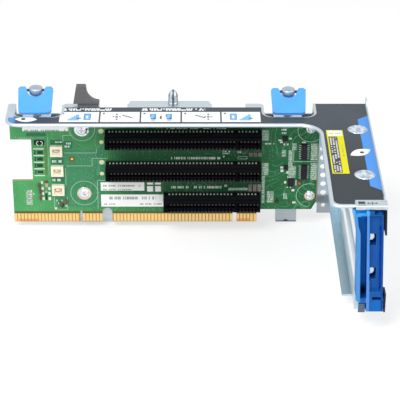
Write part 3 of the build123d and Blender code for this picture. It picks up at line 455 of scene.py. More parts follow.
def latch_moulding():
    """Deep blue moulding with painted light and shade: its front is painted pale as highlight along the left
    wall and the rib, and painted shade darkens it with depth."""
    w = Finish("deep blue moulding", Specular_IOR_Level=0.1)
    place = w.place()
    across, along, up = w.parts(place)
    normal = w.rounded(LATCH_EDGE_RADIUS)
    speckle = w.speckle(place, MOULDING_SPECKLE_SCALE)

    def right_of(line, softness=0.3):
        start, lean = line
        return w.change(w.minus(w.minus(across, w.times(up, lean)), start), -softness, softness)

    front = w.before(along, LATCH_FRONT + 0.6, 0.3)
    left_part = w.minus(1.0, right_of(LATCH_RIB_RIGHT))
    left_wall = w.minus(1.0, right_of(LATCH_LEFT_WALL, 0.5))
    rib = w.times(right_of(LATCH_RIB_LEFT), left_part)
    crown = w.times(w.past(up, LATCH_CROWN, 0.15), w.above(along, LATCH_FRONT + CROWN_BEHIND))
    groove = w.times(right_of(LATCH_GROOVE), w.above(along, LATCH_FRONT + GROOVE_BEHIND))
    between_sides = w.times(w.past(across, RECESS_SIDES[0], 0.1), w.before(across, RECESS_SIDES[1], 0.1))
    recess = w.times(w.past(up, LATCH_RECESS, 0.1), between_sides)
    channel = w.mix(w.change(up, *CHANNEL_PAINTED_LIGHT), (0.004, 0.19, 0.70), (0.001, 0.32, 1.0))
    channel = w.mix(w.before(up, CHANNEL_SHADE, 2.0), channel, (0.001, 0.008, 0.07))
    # Painted light and shade over the blue, in order: a lighter foot; highlights on the front of the left
    # wall and the rib; shade on the right lip; the deep channel faces painted lighter towards the top and
    # dark at the bottom; a lighter groove; highlights on the edges, which are also rubbed; a lighter pad and
    # what lies above it on the left; and dark shade on the crown and the recess under the keeper
    tone = w.print_over(w.mix(speckle["Tone"], (0.009, 0.095, 0.36), (0.006, 0.080, 0.32)), (
        (w.before(up, LATCH_FOOT_TOP, 0.4), (0.006, 0.125, 0.45)),
        (w.times(left_wall, front), (0.060, 0.265, 0.62)),
        (w.times(rib, front), (0.080, 0.245, 0.66)),
        (w.times(right_of(LATCH_LIP), 0.85), (0.003, 0.045, 0.22)),
        (w.past(along, LATCH_FRONT + CHANNEL_BEHIND, 0.75), channel),
        (groove, (0.004, 0.24, 1.0)),
        (w.times(w.rubbed_and_highlight(normal, place, 0.9), 0.6), (0.06, 0.27, 0.68)),
        (w.times(w.past(up, LATCH_PAD, 0.1), left_part), (0.05, 0.40, 0.85)),
        (w.math("MAXIMUM", crown, recess), (0.004, 0.012, 0.035))))
    return w.done(tone, w.spread(speckle["Speckle"], 0.32, 0.46),
                  w.bumped(speckle["Speckle"], *SPECKLE_BUMP, normal))


def slot_moulding():
    """Black moulding, greyer where it faces up."""
    w = Finish("slot black", Specular_IOR_Level=0.03)
    speckle = w.speckle(w.place(), MOULDING_SPECKLE_SCALE)
    tone = w.mix(speckle["Tone"], (0.0015, 0.0013, 0.002), (0.003, 0.003, 0.004))
    tone = w.mix(w.above(w.parts(w.facing())[2], 0.7), tone, (0.008, 0.008, 0.010))
    return w.done(tone, w.spread(speckle["Speckle"], 0.44, 0.58),
                  w.bumped(speckle["Speckle"], *SPECKLE_BUMP, w.rounded(0.3)))


# Printing on the plate's label, in millimetres across (X) and along (Y)
PANEL_EDGES = (-114.2, -91.3, -68.4, -45.5, -23.2, -0.6)
PANEL_LOW = -16.2
PANEL_HIGH = -3.5
PANEL_LINE = 0.45
WHITE_INK = (0.86, 0.88, 0.89)
HEADING_INK = (0.78, 0.81, 0.83)
BLUE_INK = (0.10, 0.30, 0.62)
SKY_INK = (0.22, 0.48, 0.78)
NAVY_INK = (0.05, 0.16, 0.30)
GREY_INK = (0.16, 0.18, 0.21)
PALE_GREY_INK = (0.50, 0.52, 0.54)
BROWN_INK = (0.20, 0.10, 0.06)
BLACK_INK = (0.05, 0.05, 0.05)
DARK_INK = (0.056, 0.070, 0.088)
DARK_INK_DEEP = (0.050, 0.062, 0.078)
PAINTED_SHADE_INK = (0.026, 0.032, 0.038)
STRIP_INK = (0.070, 0.275, 0.71)
END_INK = (0.078, 0.275, 0.58)
# Headings above the panels: left and right ends, and for each of their two rows of dashes how far it is
# set in, its front and back edges and the length of a dash
HEADINGS = ((-113.6, -84.0), (-67.8, -32.0))
HEADING_ROWS = ((0.0, -2.5, 0.3, 1.7), (0.4, -1.4, 1.9, 1.3))
# Pointed ovals: across, along, half length, half width and turn, then the dot's place and radius
OVALS = (((-132.4, -12.7, 6.3, 3.3, -0.05), (-133.9, -12.4, 1.3)),
         ((51.4, -53.0, 6.6, 3.6, 0.55), (52.3, -53.0, 1.2)))
# Where the blue left end fades into the dark ground, and the blue strip's left side, ends and slant
BLUE_END = -138.5
BLUE_STRIP_LEFT = 53.3
BLUE_STRIP_LOW = -96.0
BLUE_STRIP_HIGH = -8.0
BLUE_STRIP_SLANT = 0.8
# How much shorter the strip is at each end on its left side, and a reach well past its ends
BLUE_STRIP_SHORTER = 5.0
BEYOND_STRIP = 30.0
# Painted shade: the dark ground darkens from the first of these places along it to the second
GROUND_PAINTED_SHADE = (-15.0, -75.0)


def panel_pictures(w, place):
    """Plain picture marks in the panels: blocks and ramps in blue, crosses and ticks in grey."""
    marks = []

    def bar(panel, left, right, low, high, colour):
        start = PANEL_EDGES[panel]
        marks.append((w.bar(place, start + left, start + right, low, high), colour))

    for panel, block, ramp in ((0, 14.0, 4.8), (4, 5.0, 10.2)):
        bar(panel, block, block + 4.0, -13.6, -5.6, BLUE_INK)
        bar(panel, block + 0.6, block + 3.4, -12.8, -6.6, SKY_INK)
        bar(panel, block + 1.4, block + 2.4, -11.4, -8.2, WHITE_INK)
        for step in range(5):
            bar(panel, ramp + 1.2 * step, ramp + 6.6, -14.2 + 1.5 * step, -12.7 + 1.5 * step, SKY_INK)
        bar(panel, ramp + 5.2, ramp + 7.6, -12.4, -10.8, GREY_INK)
    for panel, cross, tick in ((1, 9.6, 12.6), (3, 15.2, 7.8)):
        for half, low, high, colour in ((2.4, -10.3, -9.1, GREY_INK), (0.5, -13.6, -5.6, GREY_INK),
                                        (1.2, -11.8, -7.6, WHITE_INK), (0.7, -10.8, -8.6, GREY_INK)):
            bar(panel, cross - half, cross + half, low, high, colour)
        for step in range(4):
            left = tick + 1.4 * step
            bar(panel, left, left + 1.5, -8.6 - 0.9 * step, -7.2 - 0.9 * step, GREY_INK)
    for start in (5.7, 14.6):
        bar(2, start + 0.5, start + 2.6, -15.0, -12.0, PALE_GREY_INK)
        bar(2, start, start + 3.1, -12.9, -5.8, BLUE_INK)
        bar(2, start + 0.3, start + 2.2, -11.4, -6.6, SKY_INK)
        bar(2, start + 1.6, start + 2.9, -12.7, -10.6, NAVY_INK)
        bar(2, start - 0.5, start + 0.2, -9.4, -6.4, GREY_INK)
    bar(2, 10.9, 12.0, -12.6, -8.4, BROWN_INK)
    for panel in range(5):
        bar(panel, 1.6, 2.8, -6.4, -4.6, GREY_INK)
    return marks


def printed_label():
    """Dark satin label with white panels, a blue end, a blue strip slanted at both ends, and two pointed
    ovals with a dark dot."""
    w = Finish("printed label", Specular_IOR_Level=0.22)
    place = w.place()
    x, y, _ = w.parts(place)
    speckle = w.speckle(place, LABEL_SPECKLE_SCALE)
    base = w.mix(speckle["Tone"], DARK_INK, DARK_INK_DEEP)
    # Painted shade, darker towards the front
    base = w.mix(w.times(w.change(y, *GROUND_PAINTED_SHADE), 0.75), base, PAINTED_SHADE_INK)
    layers = [(w.bar(place, left + PANEL_LINE, right - PANEL_LINE, PANEL_LOW, PANEL_HIGH), WHITE_INK)
              for left, right in zip(PANEL_EDGES[:-1], PANEL_EDGES[1:])]
    layers += panel_pictures(w, place)
    for left, right in HEADINGS:
        layers += [(w.dashes(place, left + inset, right, *row), HEADING_INK) for inset, *row in HEADING_ROWS]
    slant = w.times(w.minus(x, BLUE_STRIP_LEFT), BLUE_STRIP_SLANT)
    strip_back = w.bar(w.join(x, w.minus(y, slant)), BLUE_STRIP_LEFT, BLUE_STRIP_LEFT + BEYOND_STRIP,
                       BLUE_STRIP_LOW - BEYOND_STRIP, BLUE_STRIP_HIGH - BLUE_STRIP_SHORTER)
    strip_front = w.bar(w.join(x, w.plus(y, slant)), BLUE_STRIP_LEFT, BLUE_STRIP_LEFT + BEYOND_STRIP,
                        BLUE_STRIP_LOW + BLUE_STRIP_SHORTER, BLUE_STRIP_HIGH + BEYOND_STRIP)
    layers += [(w.before(x, BLUE_END, 1.1), END_INK), (w.math("MINIMUM", strip_back, strip_front), STRIP_INK)]
    for oval, dot in OVALS:
        layers += [(w.lens(place, *oval), WHITE_INK), (w.disc(place, *dot), BLACK_INK)]
    return w.done(w.print_over(base, layers), w.spread(speckle["Speckle"], 0.42, 0.56),
                  w.bumped(speckle["Speckle"], 0.08, 0.02, w.rounded(0.1)))


# Print on the yellow label: left, right, front and back of its head and of its dark field; then dashes,
# which along the label are given as front, back, left and right, with a dash's length and the rows
SERVICE_HEAD = (35.4, 43.0, -33.6, -27.2)
SERVICE_FIELD = (35.4, 40.2, -76.4, -34.4)
SERVICE_RULES = (-75.6, -35.4, 35.7, 40.0, 1.15, 3.0)
SERVICE_HEAD_MARKS = (36.0, 42.4, -31.6, -29.6, 1.1)
SERVICE_BAND_MARKS = (-58.0, -44.0, 41.2, 43.0, 1.6)


def printed_service_label():
    """Yellow label with a pale head and a dark field. Pale rules cross the field, broken into short runs, and
    faint marks stand in the head and in the band beside it."""
    w = Finish("service label", Specular_IOR_Level=0.2)
    place = w.place()
    speckle = w.speckle(place, LABEL_SPECKLE_SCALE)
    base = w.mix(speckle["Tone"], (0.74, 0.71, 0.012), (0.66, 0.62, 0.008))
    across, along, _ = w.parts(place)
    lengthwise = w.join(along, across)
    tone = w.print_over(base, (
        (w.bar(place, *SERVICE_HEAD), (0.80, 0.81, 0.70)),
        (w.bar(place, *SERVICE_FIELD), (0.05, 0.05, 0.055)),
        (w.dashes(lengthwise, *SERVICE_RULES), (0.66, 0.67, 0.66)),
        (w.dashes(place, *SERVICE_HEAD_MARKS), (0.42, 0.42, 0.36)),
        (w.dashes(lengthwise, *SERVICE_BAND_MARKS), (0.50, 0.46, 0.05))))
    return w.done(tone, w.spread(speckle["Speckle"], 0.42, 0.58))


# Printing on the board, in millimetres across (X) and up (Z)
# Rings round the screws: centre, radius, and where each arc starts and stops short of the board's edge
SILK_RINGS = ((-102.3, 45.0, 7.4, 0.0, 2 * pi), (-102.0, 3.5, 7.9, 0.0, 2 * pi),
              (28.4, 44.2, 7.4, 0.96, 5.37), (28.8, 2.0, 7.6, 1.2, 4.6))
# Thin lines: left, right, low and high
SILK_LINES = ((-112.9, -94.3, 29.6, 29.9), (-94.5, -94.2, 29.6, 32.5), (-112.0, -96.9, 21.2, 21.5),
              (-97.1, -96.8, 21.2, 26.3), (-96.9, -88.1, 26.1, 26.4), (-113.4, -108.2, 40.9, 41.2),
              (-113.4, -113.1, 36.7, 41.0), (-112.6, -112.3, 8.5, 20.0), (-94.4, -94.1, -7.0, 11.8),
              (-94.2, -88.4, 11.7, 12.0), (-122.1, -121.9, 14.4, 40.2), (-138.8, -124.0, 39.2, 39.5),
              (18.8, 33.0, 23.9, 24.3), (18.9, 19.2, 24.2, 32.4), (-119.7, -119.4, -7.6, 1.0),
              (-112.2, -111.9, -7.6, 1.0), (-119.6, -112.0, -7.8, -7.5), (20.4, 21.2, 8.5, 12.0),
              (-21.9, -16.9, 31.5, 31.8), (-21.9, -21.6, 28.4, 31.6), (-13.0, -7.8, 27.3, 27.6),
              (-13.0, -7.8, 25.7, 26.0), (-13.1, -12.8, 25.7, 27.6), (-8.0, -7.7, 25.7, 27.6))
# Heights of the lines at the side notch
CONNECTOR_LINES = (32.4, 28.05, 23.75, 19.45, 15.05)
# Tinned pads: centre and radius
PADS = ((-91.4, 43.7, 1.5), (-91.3, 36.7, 1.2), (-91.4, 23.7, 1.5), (-91.5, 16.3, 1.2))
COPPER_EYELET = (-108.5, 25.8)
EYELET_RADIUS = 1.7
EYELET_CORE_RADIUS = 0.7
# Rows of white dashes: left, right, low, high and how many rows
MARK_BLOCKS = ((-119.6, -113.4, 36.0, 37.5, 1), (-120.0, -113.6, 23.1, 25.5, 1),
               (-120.2, -113.8, 10.8, 13.4, 1), (-112.4, -108.6, 32.9, 36.9, 2),
               (-118.4, -114.4, -4.2, -0.5, 2), (2.4, 8.8, 35.0, 36.3, 1), (11.6, 15.8, 43.8, 45.5, 1),
               (11.9, 15.6, 41.5, 43.4, 1), (12.1, 16.1, 34.3, 36.2, 1), (15.4, 19.8, 6.7, 7.8, 1),
               (-51.5, -21.9, 25.2, 27.6, 1), (-51.6, -21.5, 6.1, 8.6, 1), (-21.6, -17.0, 26.5, 28.3, 1),
               (-21.3, -17.2, 28.8, 31.2, 2), (-13.1, -10.4, 29.3, 31.2, 1), (-20.6, -18.6, 7.2, 9.4, 1),
               (-18.6, -7.0, 5.4, 7.0, 1), (-54.8, -18.9, 44.2, 46.0, 1), (-131.7, -130.6, 2.2, 5.5, 2))
# Blocks of paler, finer print, under the dashes of the same field
PALE_BLOCKS = ((0.7, 4.6, 37.7, 44.3, 6), (0.9, 4.8, 15.2, 23.2, 7), (1.1, 2.9, -3.2, 14.7, 14),
               (4.1, 8.1, -2.9, 4.8, 5), (12.2, 14.6, 27.3, 31.7, 4), (16.1, 18.6, 21.2, 31.6, 8),
               (18.0, 20.6, 31.6, 36.0, 4), (28.9, 32.9, 24.9, 35.8, 9), (29.1, 33.0, 12.1, 23.3, 9),
               (15.7, 20.4, 13.3, 14.9, 2), (16.1, 20.6, 15.0, 21.4, 6), (-135.8, -132.3, -4.4, 5.4, 8),
               (13.7, 15.9, -0.6, 3.4, 3), (-18.4, -7.0, 5.2, 7.0, 2))
# Pads, dark blocks, shaded grounds and small parts: left, right, low and high
WHITE_PADS = ((10.0, 12.6, 37.4, 38.3), (10.9, 12.6, 36.1, 37.1), (16.0, 17.6, 38.4, 39.5),
              (11.5, 13.2, 19.6, 20.9), (11.7, 13.3, 17.3, 19.0), (13.9, 15.2, 9.8, 11.3),
              (15.1, 16.3, 16.2, 17.8), (18.4, 20.0, 4.6, 6.0), (19.0, 20.9, -3.4, -2.2),
              (23.6, 25.8, 36.1, 37.0), (-126.8, -125.5, 5.6, 7.4), (-126.6, -125.4, 2.3, 4.2),
              (-126.8, -125.2, -1.2, 0.8), (-122.9, -121.6, 5.6, 7.4), (-122.9, -121.6, 2.3, 4.2),
              (-123.0, -121.5, -1.2, 0.8), (-126.9, -125.9, 9.6, 11.3), (-134.4, -132.4, 2.6, 5.4),
              (-119.4, -118.2, -7.2, -6.0), (-113.2, -112.4, -5.6, -4.4))
DARK_BLOCKS = ((-128.3, -125.0, 29.1, 31.2), (-128.5, -125.2, 24.8, 26.9), (-128.7, -125.4, 20.6, 22.6),
               (-128.6, -125.3, 16.5, 18.2), (-124.8, -123.5, -1.1, 3.2), (8.7, 11.3, -3.0, -1.0),
               (9.3, 10.6, -1.2, 0.2), (-115.6, -114.4, -6.2, -4.6), (-114.8, -113.9, -4.8, -3.4))
TEXT_GROUNDS = ((-120.6, -113.0, 35.4, 38.2), (-120.8, -113.2, 22.6, 26.2), (-120.8, -113.4, 10.3, 14.0),
                (-113.0, -108.0, 32.4, 37.4), (-134.1, -122.8, 40.6, 42.6))
PINK_BLOCKS = ((-124.5, -123.0, 7.6, 10.0), (-124.7, -123.4, 3.9, 5.2))
BROWN_BLOCKS = ((-124.9, -122.6, 10.4, 11.8), (17.2, 18.6, -3.3, -2.2))
RED_BLOCKS = ((22.3, 23.3, 9.6, 10.9),)
# Heights on the board's lower edge: the dull olive band, and the bare laminate round the contacts
OLIVE_BAND_TOP = -8.6
BARE_EDGE_TOP = -10.0
# Fields of teal and of deeper green: left, right, low and high
TEAL_FIELD = (-118.0, -90.0, -6.0, 32.0)
DEEP_FIELD = (-92.0, 0.6, -4.0, 46.0)
# Where the deeper green comes in from the left, and where the board's own green starts and ends its change
DEEP_FADES_IN = (-93.0, -76.0)
MASK_ENDS = (-135.0, -20.0)
MASK_LEFT = (0.078, 0.350, 0.115)
MASK_RIGHT = (0.014, 0.112, 0.036)
MASK_TEAL = (0.040, 0.185, 0.125)
MASK_CLOUD = (0.022, 0.180, 0.072)
MASK_DEEP = (0.010, 0.060, 0.026)
TRACE_GREEN = (0.17, 0.48, 0.27)
VIA_TONE = (0.42, 0.52, 0.30)
OLIVE_BAND = (0.085, 0.105, 0.028)
BARE_LAMINATE = (0.46, 0.26, 0.085)
CUT_EDGE = (0.40, 0.30, 0.13)
TINNED_PAD = (0.72, 0.76, 0.42)
EYELET_DARK = (0.17, 0.085, 0.012)
EYELET_COPPER = (0.85, 0.55, 0.28)
TRACES_ACROSS_NOISE = 34.0
VIAS_LEFT_OUT = 0.72


def traces(w, place):
    """Copper traces under the mask: contour lines of a slow noise field, kept in patches."""
    field = w.noise(w.vector("MULTIPLY", place, (1.0, 0.0, 0.7)), 0.035, 1.0, 0.4)
    contour = w.absolute(w.minus(w.math("FRACT", w.times(field, TRACES_ACROSS_NOISE)), 0.5))
    return w.times(w.before(contour, 0.09, 0.03), w.past(w.noise(place, 0.06, 1.0, 0.5), 0.5, 0.03))


def vias(w, face):
    """Small round spots kept in a random share of the cells."""
    cells = w.add("ShaderNodeTexVoronoi", {"Vector": face, "Scale": 0.55}, voronoi_dimensions="2D")
    near = w.before(cells.outputs["Distance"], 0.16, 0.04)
    chance = w.add("ShaderNodeSeparateColor", {0: cells.outputs["Color"]}).outputs[0]
    return w.times(near, w.above(chance, VIAS_LEFT_OUT))


def solder_mask():
    """Green board: brighter to the left, teal under the parts there, deeper between the slots, with traces,
    pads, bare laminate on its edges and an olive band above the contacts."""
    w = Finish("riser board", Specular_IOR_Level=0.18)
    place = w.place()
    x, y, z = w.parts(place)
    face = w.join(x, z)
    speckle = w.speckle(place, 1.5)
    trace = traces(w, place)
    front = w.forward()
    cut = w.below(w.absolute(w.parts(w.facing())[1]), 0.5)
    deep = w.times(w.change(x, *DEEP_FADES_IN), w.bar(face, *DEEP_FIELD))
    layers = [(w.times(w.bar(face, *TEAL_FIELD), 0.5), MASK_TEAL),
              (w.times(speckle["Tone"], 0.35), MASK_CLOUD),
              (w.times(deep, 0.6), MASK_DEEP),
              (w.times(trace, 0.25), TRACE_GREEN),
              (w.times(vias(w, face), 0.3), VIA_TONE),
              (w.times(w.below(z, OLIVE_BAND_TOP), front), OLIVE_BAND),
              (w.times(w.below(z, BARE_EDGE_TOP), front), BARE_LAMINATE)]
    layers += [(w.times(w.disc(face, *pad), front), TINNED_PAD) for pad in PADS]
    layers += [(w.times(w.disc(face, *COPPER_EYELET, EYELET_RADIUS), front), EYELET_DARK),
               (w.times(w.disc(face, *COPPER_EYELET, EYELET_CORE_RADIUS), front), EYELET_COPPER),
               (cut, CUT_EDGE)]
    base = w.mix(w.change(x, *MASK_ENDS), MASK_LEFT, MASK_RIGHT)
    return w.done(w.print_over(base, layers), w.spread(speckle["Speckle"], 0.30, 0.42),
                  w.bumped(trace, 0.15, 0.03, w.rounded(0.15)))


# Stretches of the edge contacts that are rubbed to the copper: left, right, low and high
RUBBED_LEFT = (-140.6, -129.2, -15.2, -13.6)
RUBBED_RIGHT = (-13.4, -5.6, -15.2, -13.4)


def gold_contacts():
    """Gold plating, redder in patches, with lengthwise wiping marks, and rubbed to the copper along the lower
    ends in two stretches."""
    w = Finish("gold contacts", Metallic=0.85)
    place = w.place()
    grain = w.grain(place, (3.0, 1.0, 0.3), 0.8)
    face = w.on_front(place)
    rubbed = w.math("MAXIMUM", w.bar(face, *RUBBED_LEFT), w.bar(face, *RUBBED_RIGHT))
    tone = w.mix(grain["Grain"], (0.92, 0.70, 0.31), (0.86, 0.58, 0.22))
    tone = w.mix(w.times(grain["Smudge"], 0.4), tone, (0.98, 0.60, 0.20))
    tone = w.mix(w.times(rubbed, 0.8), tone, (0.80, 0.30, 0.06))
    return w.done(tone, w.spread(grain["Grain"], 0.28, 0.42), w.rounded(0.15))


# Alignment pin: its place across and along, the height at which its nose starts, the half width of its
# painted dark reflection stripe, and how far from the middle the painted light flank darkens, on the nose and
# below it
GUIDE_PIN = (-50.2, 8.2)
GUIDE_PIN_NOSE = 62.2
PIN_STRIPE = 0.65
PIN_NOSE_FLANK = (1.4, 1.9)
PIN_FLANK = (2.0, 2.6)


def turned_steel():
    """Turned pin with a painted reflection: light flanks, a dark stripe down the middle and dark outer edges.
    """
    w = Finish("guide pin steel", Metallic=0.6)
    place = w.place()
    across, _, up = w.parts(place)
    away = w.absolute(w.minus(across, GUIDE_PIN[0]))
    rim = w.change(away, *PIN_FLANK)
    flank = w.times(w.past(up, GUIDE_PIN_NOSE, 0.2), w.change(away, *PIN_NOSE_FLANK))
    grain = w.grain(place, (1.0, 1.0, 0.3), 0.8)
    tone = w.mix(grain["Grain"], (0.66, 0.72, 0.76), (0.54, 0.60, 0.64))
    tone = w.mix(w.math("MAXIMUM", rim, w.times(flank, 0.8)), tone, (0.20, 0.23, 0.25))
    tone = w.mix(w.before(away, PIN_STRIPE, 0.2), tone, (0.10, 0.12, 0.13))
    return w.done(tone, w.spread(grain["Grain"], 0.26, 0.36), w.rounded(0.2))


def mottled_joint():
    """Pressed metal button: painted patches of light and shade, as its dented top would catch them."""
    w = Finish("pressed joint", Metallic=0.85)
    place = w.place()
    patch = w.past(w.noise(w.vector("MULTIPLY", place, (1.0, 0.8, 1.0)), 0.42, 2.0, 0.6), 0.5, 0.06)
    grain = w.grain(place, (1.0, 0.4, 1.0), 0.8)
    tone = w.mix(w.times(patch, 0.85), (0.76, 0.84, 0.91), (0.34, 0.42, 0.50))
    tone = w.mix(w.times(grain["Grain"], 0.4), tone, (0.50, 0.57, 0.63))
    return w.done(tone, w.spread(grain["Grain"], 0.28, 0.42), w.bumped(patch, 0.25, 0.2, w.rounded(0.3)))


def flat_ink(name, colour, shade):
    """Screen-printed ink with an uneven tone."""
    w = Finish(name, Specular_IOR_Level=0.3)
    speckle = w.speckle(w.place(), 2.2)
    return w.done(w.mix(speckle["Speckle"], colour, shade), w.spread(speckle["Tone"], 0.45, 0.6))


# Grey rules on the board's white stickers: left, right, low, high and the length of a dash
STICKER_RULES = ((-135.2, -111.3, 43.5, 44.9, 1.2), (-91.1, -69.1, 7.5, 9.1, 1.1),
                 (-91.1, -74.3, 5.2, 6.4, 1.1), (-87.6, -60.4, -1.4, 1.7, 1.0),
                 (-90.8, -82.7, -4.5, -3.2, 1.0), (-69.8, -57.0, -4.6, -3.0, 1.0))


def white_sticker():
    """Paper sticker with grey rules broken into dashes."""
    w = Finish("white sticker", Specular_IOR_Level=0.3)
    place = w.place()
    face = w.on_front(place)
    speckle = w.speckle(place, 2.5)
    base = w.mix(speckle["Speckle"], (0.86, 0.86, 0.85), (0.80, 0.81, 0.80))
    tone = w.print_over(base, [(w.dashes(face, *rule), (0.30, 0.31, 0.33)) for rule in STICKER_RULES])
    return w.done(tone, w.spread(speckle["Speckle"], 0.5, 0.65))


# Faces of the cage that stand in shade: left, right, low, high and how dark
SHADED_FACES = ((9.0, 23.0, -20.0, -10.0, 0.36), (33.6, 43.0, -14.0, -1.0, 0.50),
                (33.6, 40.5, -6.8, -1.8, 0.55), (33.6, 38.0, -5.8, -2.6, 0.5))
# Metals: colour, shade, how the grain is stretched, roughness and edge wear with painted highlight
METALS = {
    "zinc sheet": ((0.61, 0.68, 0.73), (0.50, 0.57, 0.63), (0.15, 1.0, 1.0), 0.34, 0.62, SHADED_FACES),
    "satin plate": ((0.60, 0.66, 0.71), (0.48, 0.54, 0.60), (1.0, 1.0, 0.4), 0.34, 0.6),
    "turned knob": ((0.46, 0.54, 0.61), (0.34, 0.42, 0.50), (1.0, 1.0, 0.4), 0.36, 0.7),
    "bright nickel": ((0.80, 0.82, 0.84), (0.70, 0.73, 0.76), (1.0, 1.0, 0.3), 0.14, 0.4),
    "spring wire": ((0.42, 0.43, 0.45), (0.32, 0.33, 0.35), (1.0, 1.0, 0.2), 0.30, 0.4),
    "blackened pin": ((0.05, 0.05, 0.055), (0.03, 0.03, 0.035), (0.3, 1, 1), 0.40, 0.5),
    "tinned leads": ((0.74, 0.75, 0.74), (0.62, 0.63, 0.62), (1.0, 1.0, 1.0), 0.35, 0.5),
    "copper springs": ((0.86, 0.55, 0.30), (0.70, 0.42, 0.22), (1.0, 1.0, 0.3), 0.35, 0.4),
}
METAL = {name: plated_sheet(name, *values) for name, values in METALS.items()}
# Mouldings: colour, shade, tone of an edge that is rubbed and painted with highlight, and roughness
SKY_BLUE = moulded("sky blue moulding", (0.090, 0.375, 0.90), (0.080, 0.345, 0.86), (0.30, 0.58, 0.98), 0.42)
HOOK_GREY = moulded("grey moulding", (0.125, 0.125, 0.13), (0.11, 0.11, 0.115), (0.25, 0.25, 0.26), 0.55)
CHIP_BLACK = moulded("chip black", (0.016, 0.014, 0.018), (0.022, 0.020, 0.024), (0.09, 0.09, 0.09), 0.5,
                     shine=0.15)
CREAM = moulded("cream moulding", (0.86, 0.83, 0.66), (0.80, 0.75, 0.58), (1.0, 0.98, 0.92), 0.42)
BROWN = moulded("brown ceramic", (0.19, 0.085, 0.045), (0.12, 0.055, 0.03), (0.4, 0.3, 0.25), 0.45)
PALE_RESISTORS = moulded("pale resistors", (0.40, 0.33, 0.29), (0.10, 0.085, 0.08), (0.62, 0.60, 0.55), 0.45,
                         scale=0.9)
SLOT_BLACK = slot_moulding()
GOLD = gold_contacts()
# Inks and small flat parts: colour and shade
INKS = {
    "white print": ((0.74, 0.80, 0.72), (0.58, 0.67, 0.58)),
    "thin white print": ((0.44, 0.60, 0.47), (0.33, 0.50, 0.37)),
    "pale dashes": ((0.62, 0.72, 0.62), (0.48, 0.60, 0.50)),
    "pale print": ((0.23, 0.37, 0.26), (0.15, 0.28, 0.18)),
    # Dark pads, and the painted shadow line above each slot
    "dark pads and painted shadow": ((0.006, 0.030, 0.012), (0.012, 0.05, 0.02)),
    "olive pads": ((0.085, 0.17, 0.03), (0.13, 0.22, 0.05)),
    "red part": ((0.62, 0.16, 0.06), (0.40, 0.08, 0.03)),
    "brown part": ((0.11, 0.045, 0.022), (0.16, 0.07, 0.04)),
    "pink part": ((0.60, 0.42, 0.34), (0.45, 0.30, 0.24)),
    # Painted shade in the keeper's window and on the guide tab's lower edge and pointer
    "painted shade grey": ((0.035, 0.04, 0.05), (0.05, 0.06, 0.07)),
    "keeper marking": ((0.14, 0.17, 0.21), (0.20, 0.24, 0.28)),
    "shaded green": ((0.022, 0.150, 0.070), (0.030, 0.180, 0.085)),
    "bare board edge": ((0.40, 0.24, 0.11), (0.28, 0.19, 0.09)),
    "lilac marking": ((0.36, 0.43, 0.66), (0.46, 0.52, 0.70)),
    "bright tail ends": ((0.66, 0.68, 0.62), (0.44, 0.46, 0.42)),
    "paler slot walls": ((0.030, 0.030, 0.036), (0.020, 0.020, 0.024)),
}
INK = {name: flat_ink(name, *tones) for name, tones in INKS.items()}

FINISHES = {
    "cage_frame": METAL["zinc sheet"],
    "rear_bracket": bracket_sheet(),
    "cage_joints": mottled_joint(),
    "guide_pin": turned_steel(),
    "instruction_label": printed_label(),
    "service_label": printed_service_label(),
    "riser_board": solder_mask(),
    "board_labels": white_sticker(),
    "card_latch": latch_moulding(),
    "cable_hook": HOOK_GREY,
    "terminal_blocks": CREAM,
    "resistor_packs": PALE_RESISTORS,
    "capacitors": BROWN,
}
# Finishes that several nodes share
SHARED_FINISHES = (
    (METAL["satin plate"], "latch_keeper board_spacers latch_washer_left latch_washer_right"),
    (METAL["turned knob"], "latch_post_left latch_post_right"),
    (METAL["bright nickel"], "board_screws card_latch_pin"),
    (METAL["spring wire"], "latch_clip_left latch_clip_right latch_spring_left latch_spring_right"),
    (METAL["blackened pin"], "latch_pin_left latch_pin_right"),
    (METAL["tinned leads"], "contact_tails chip_leads"),
    (SKY_BLUE, "latch_tab_left latch_tab_right"),
    (CHIP_BLACK, "logic_chips small_chips"),
    (SLOT_BLACK, "card_slot_top card_slot_middle card_slot_bottom"),
    (GOLD, "edge_contacts slot_contacts_top slot_contacts_middle slot_contacts_bottom"),
)
for finish, node_names in SHARED_FINISHES:
    FINISHES.update(dict.fromkeys(node_names.split(), finish))
for node_name, finish in FINISHES.items():
    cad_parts[node_name].material_slots[0].material = finish


# Shapes worked out as grids of points
def placed(name, mesh):
    """New piece at the origin from its mesh."""
    piece = bpy.data.objects.new(name, mesh)
    bpy.context.scene.collection.objects.link(piece)
    return piece


def surface(name, points, close_across=False, smooth=True):
    """Mesh over a grid of points; close_across joins the last column to the first."""
    rows, columns = points.shape[:2]
    index = np.arange(rows * columns).reshape(rows, columns)
    if close_across:
        index = np.concatenate([index, index[:, :1]], axis=1)
    faces = np.stack([index[:-1, :-1], index[:-1, 1:], index[1:, 1:], index[1:, :-1]], axis=-1).reshape(-1, 4)
    mesh = bpy.data.meshes.new(name)
    mesh.from_pydata(points.reshape(-1, 3).tolist(), [], faces.tolist())
    work = bmesh.new()
    work.from_mesh(mesh)
    bmesh.ops.remove_doubles(work, verts=work.verts, dist=1e-7)
    work.to_mesh(mesh)
    work.free()
    mesh.polygons.foreach_set("use_smooth", [smooth] * len(mesh.polygons))
    return placed(name, mesh)


def closed(name, points, smooth=True):
    """Surface closed across, with all its faces turned outwards."""
    piece = surface(name, points, close_across=True, smooth=smooth)
    work = bmesh.new()
    work.from_mesh(piece.data)
    bmesh.ops.recalc_face_normals(work, faces=work.faces)
    work.to_mesh(piece.data)
    work.free()
    return piece


def at(x, y, z):
    """Points given in millimetres from the slots' datum, as an array in metres."""
    x, y, z = np.broadcast_arrays(x, y, z)
    return np.stack([DATUM_X + x * MM, DATUM_Y + y * MM, DATUM_Z + z * MM], axis=-1)


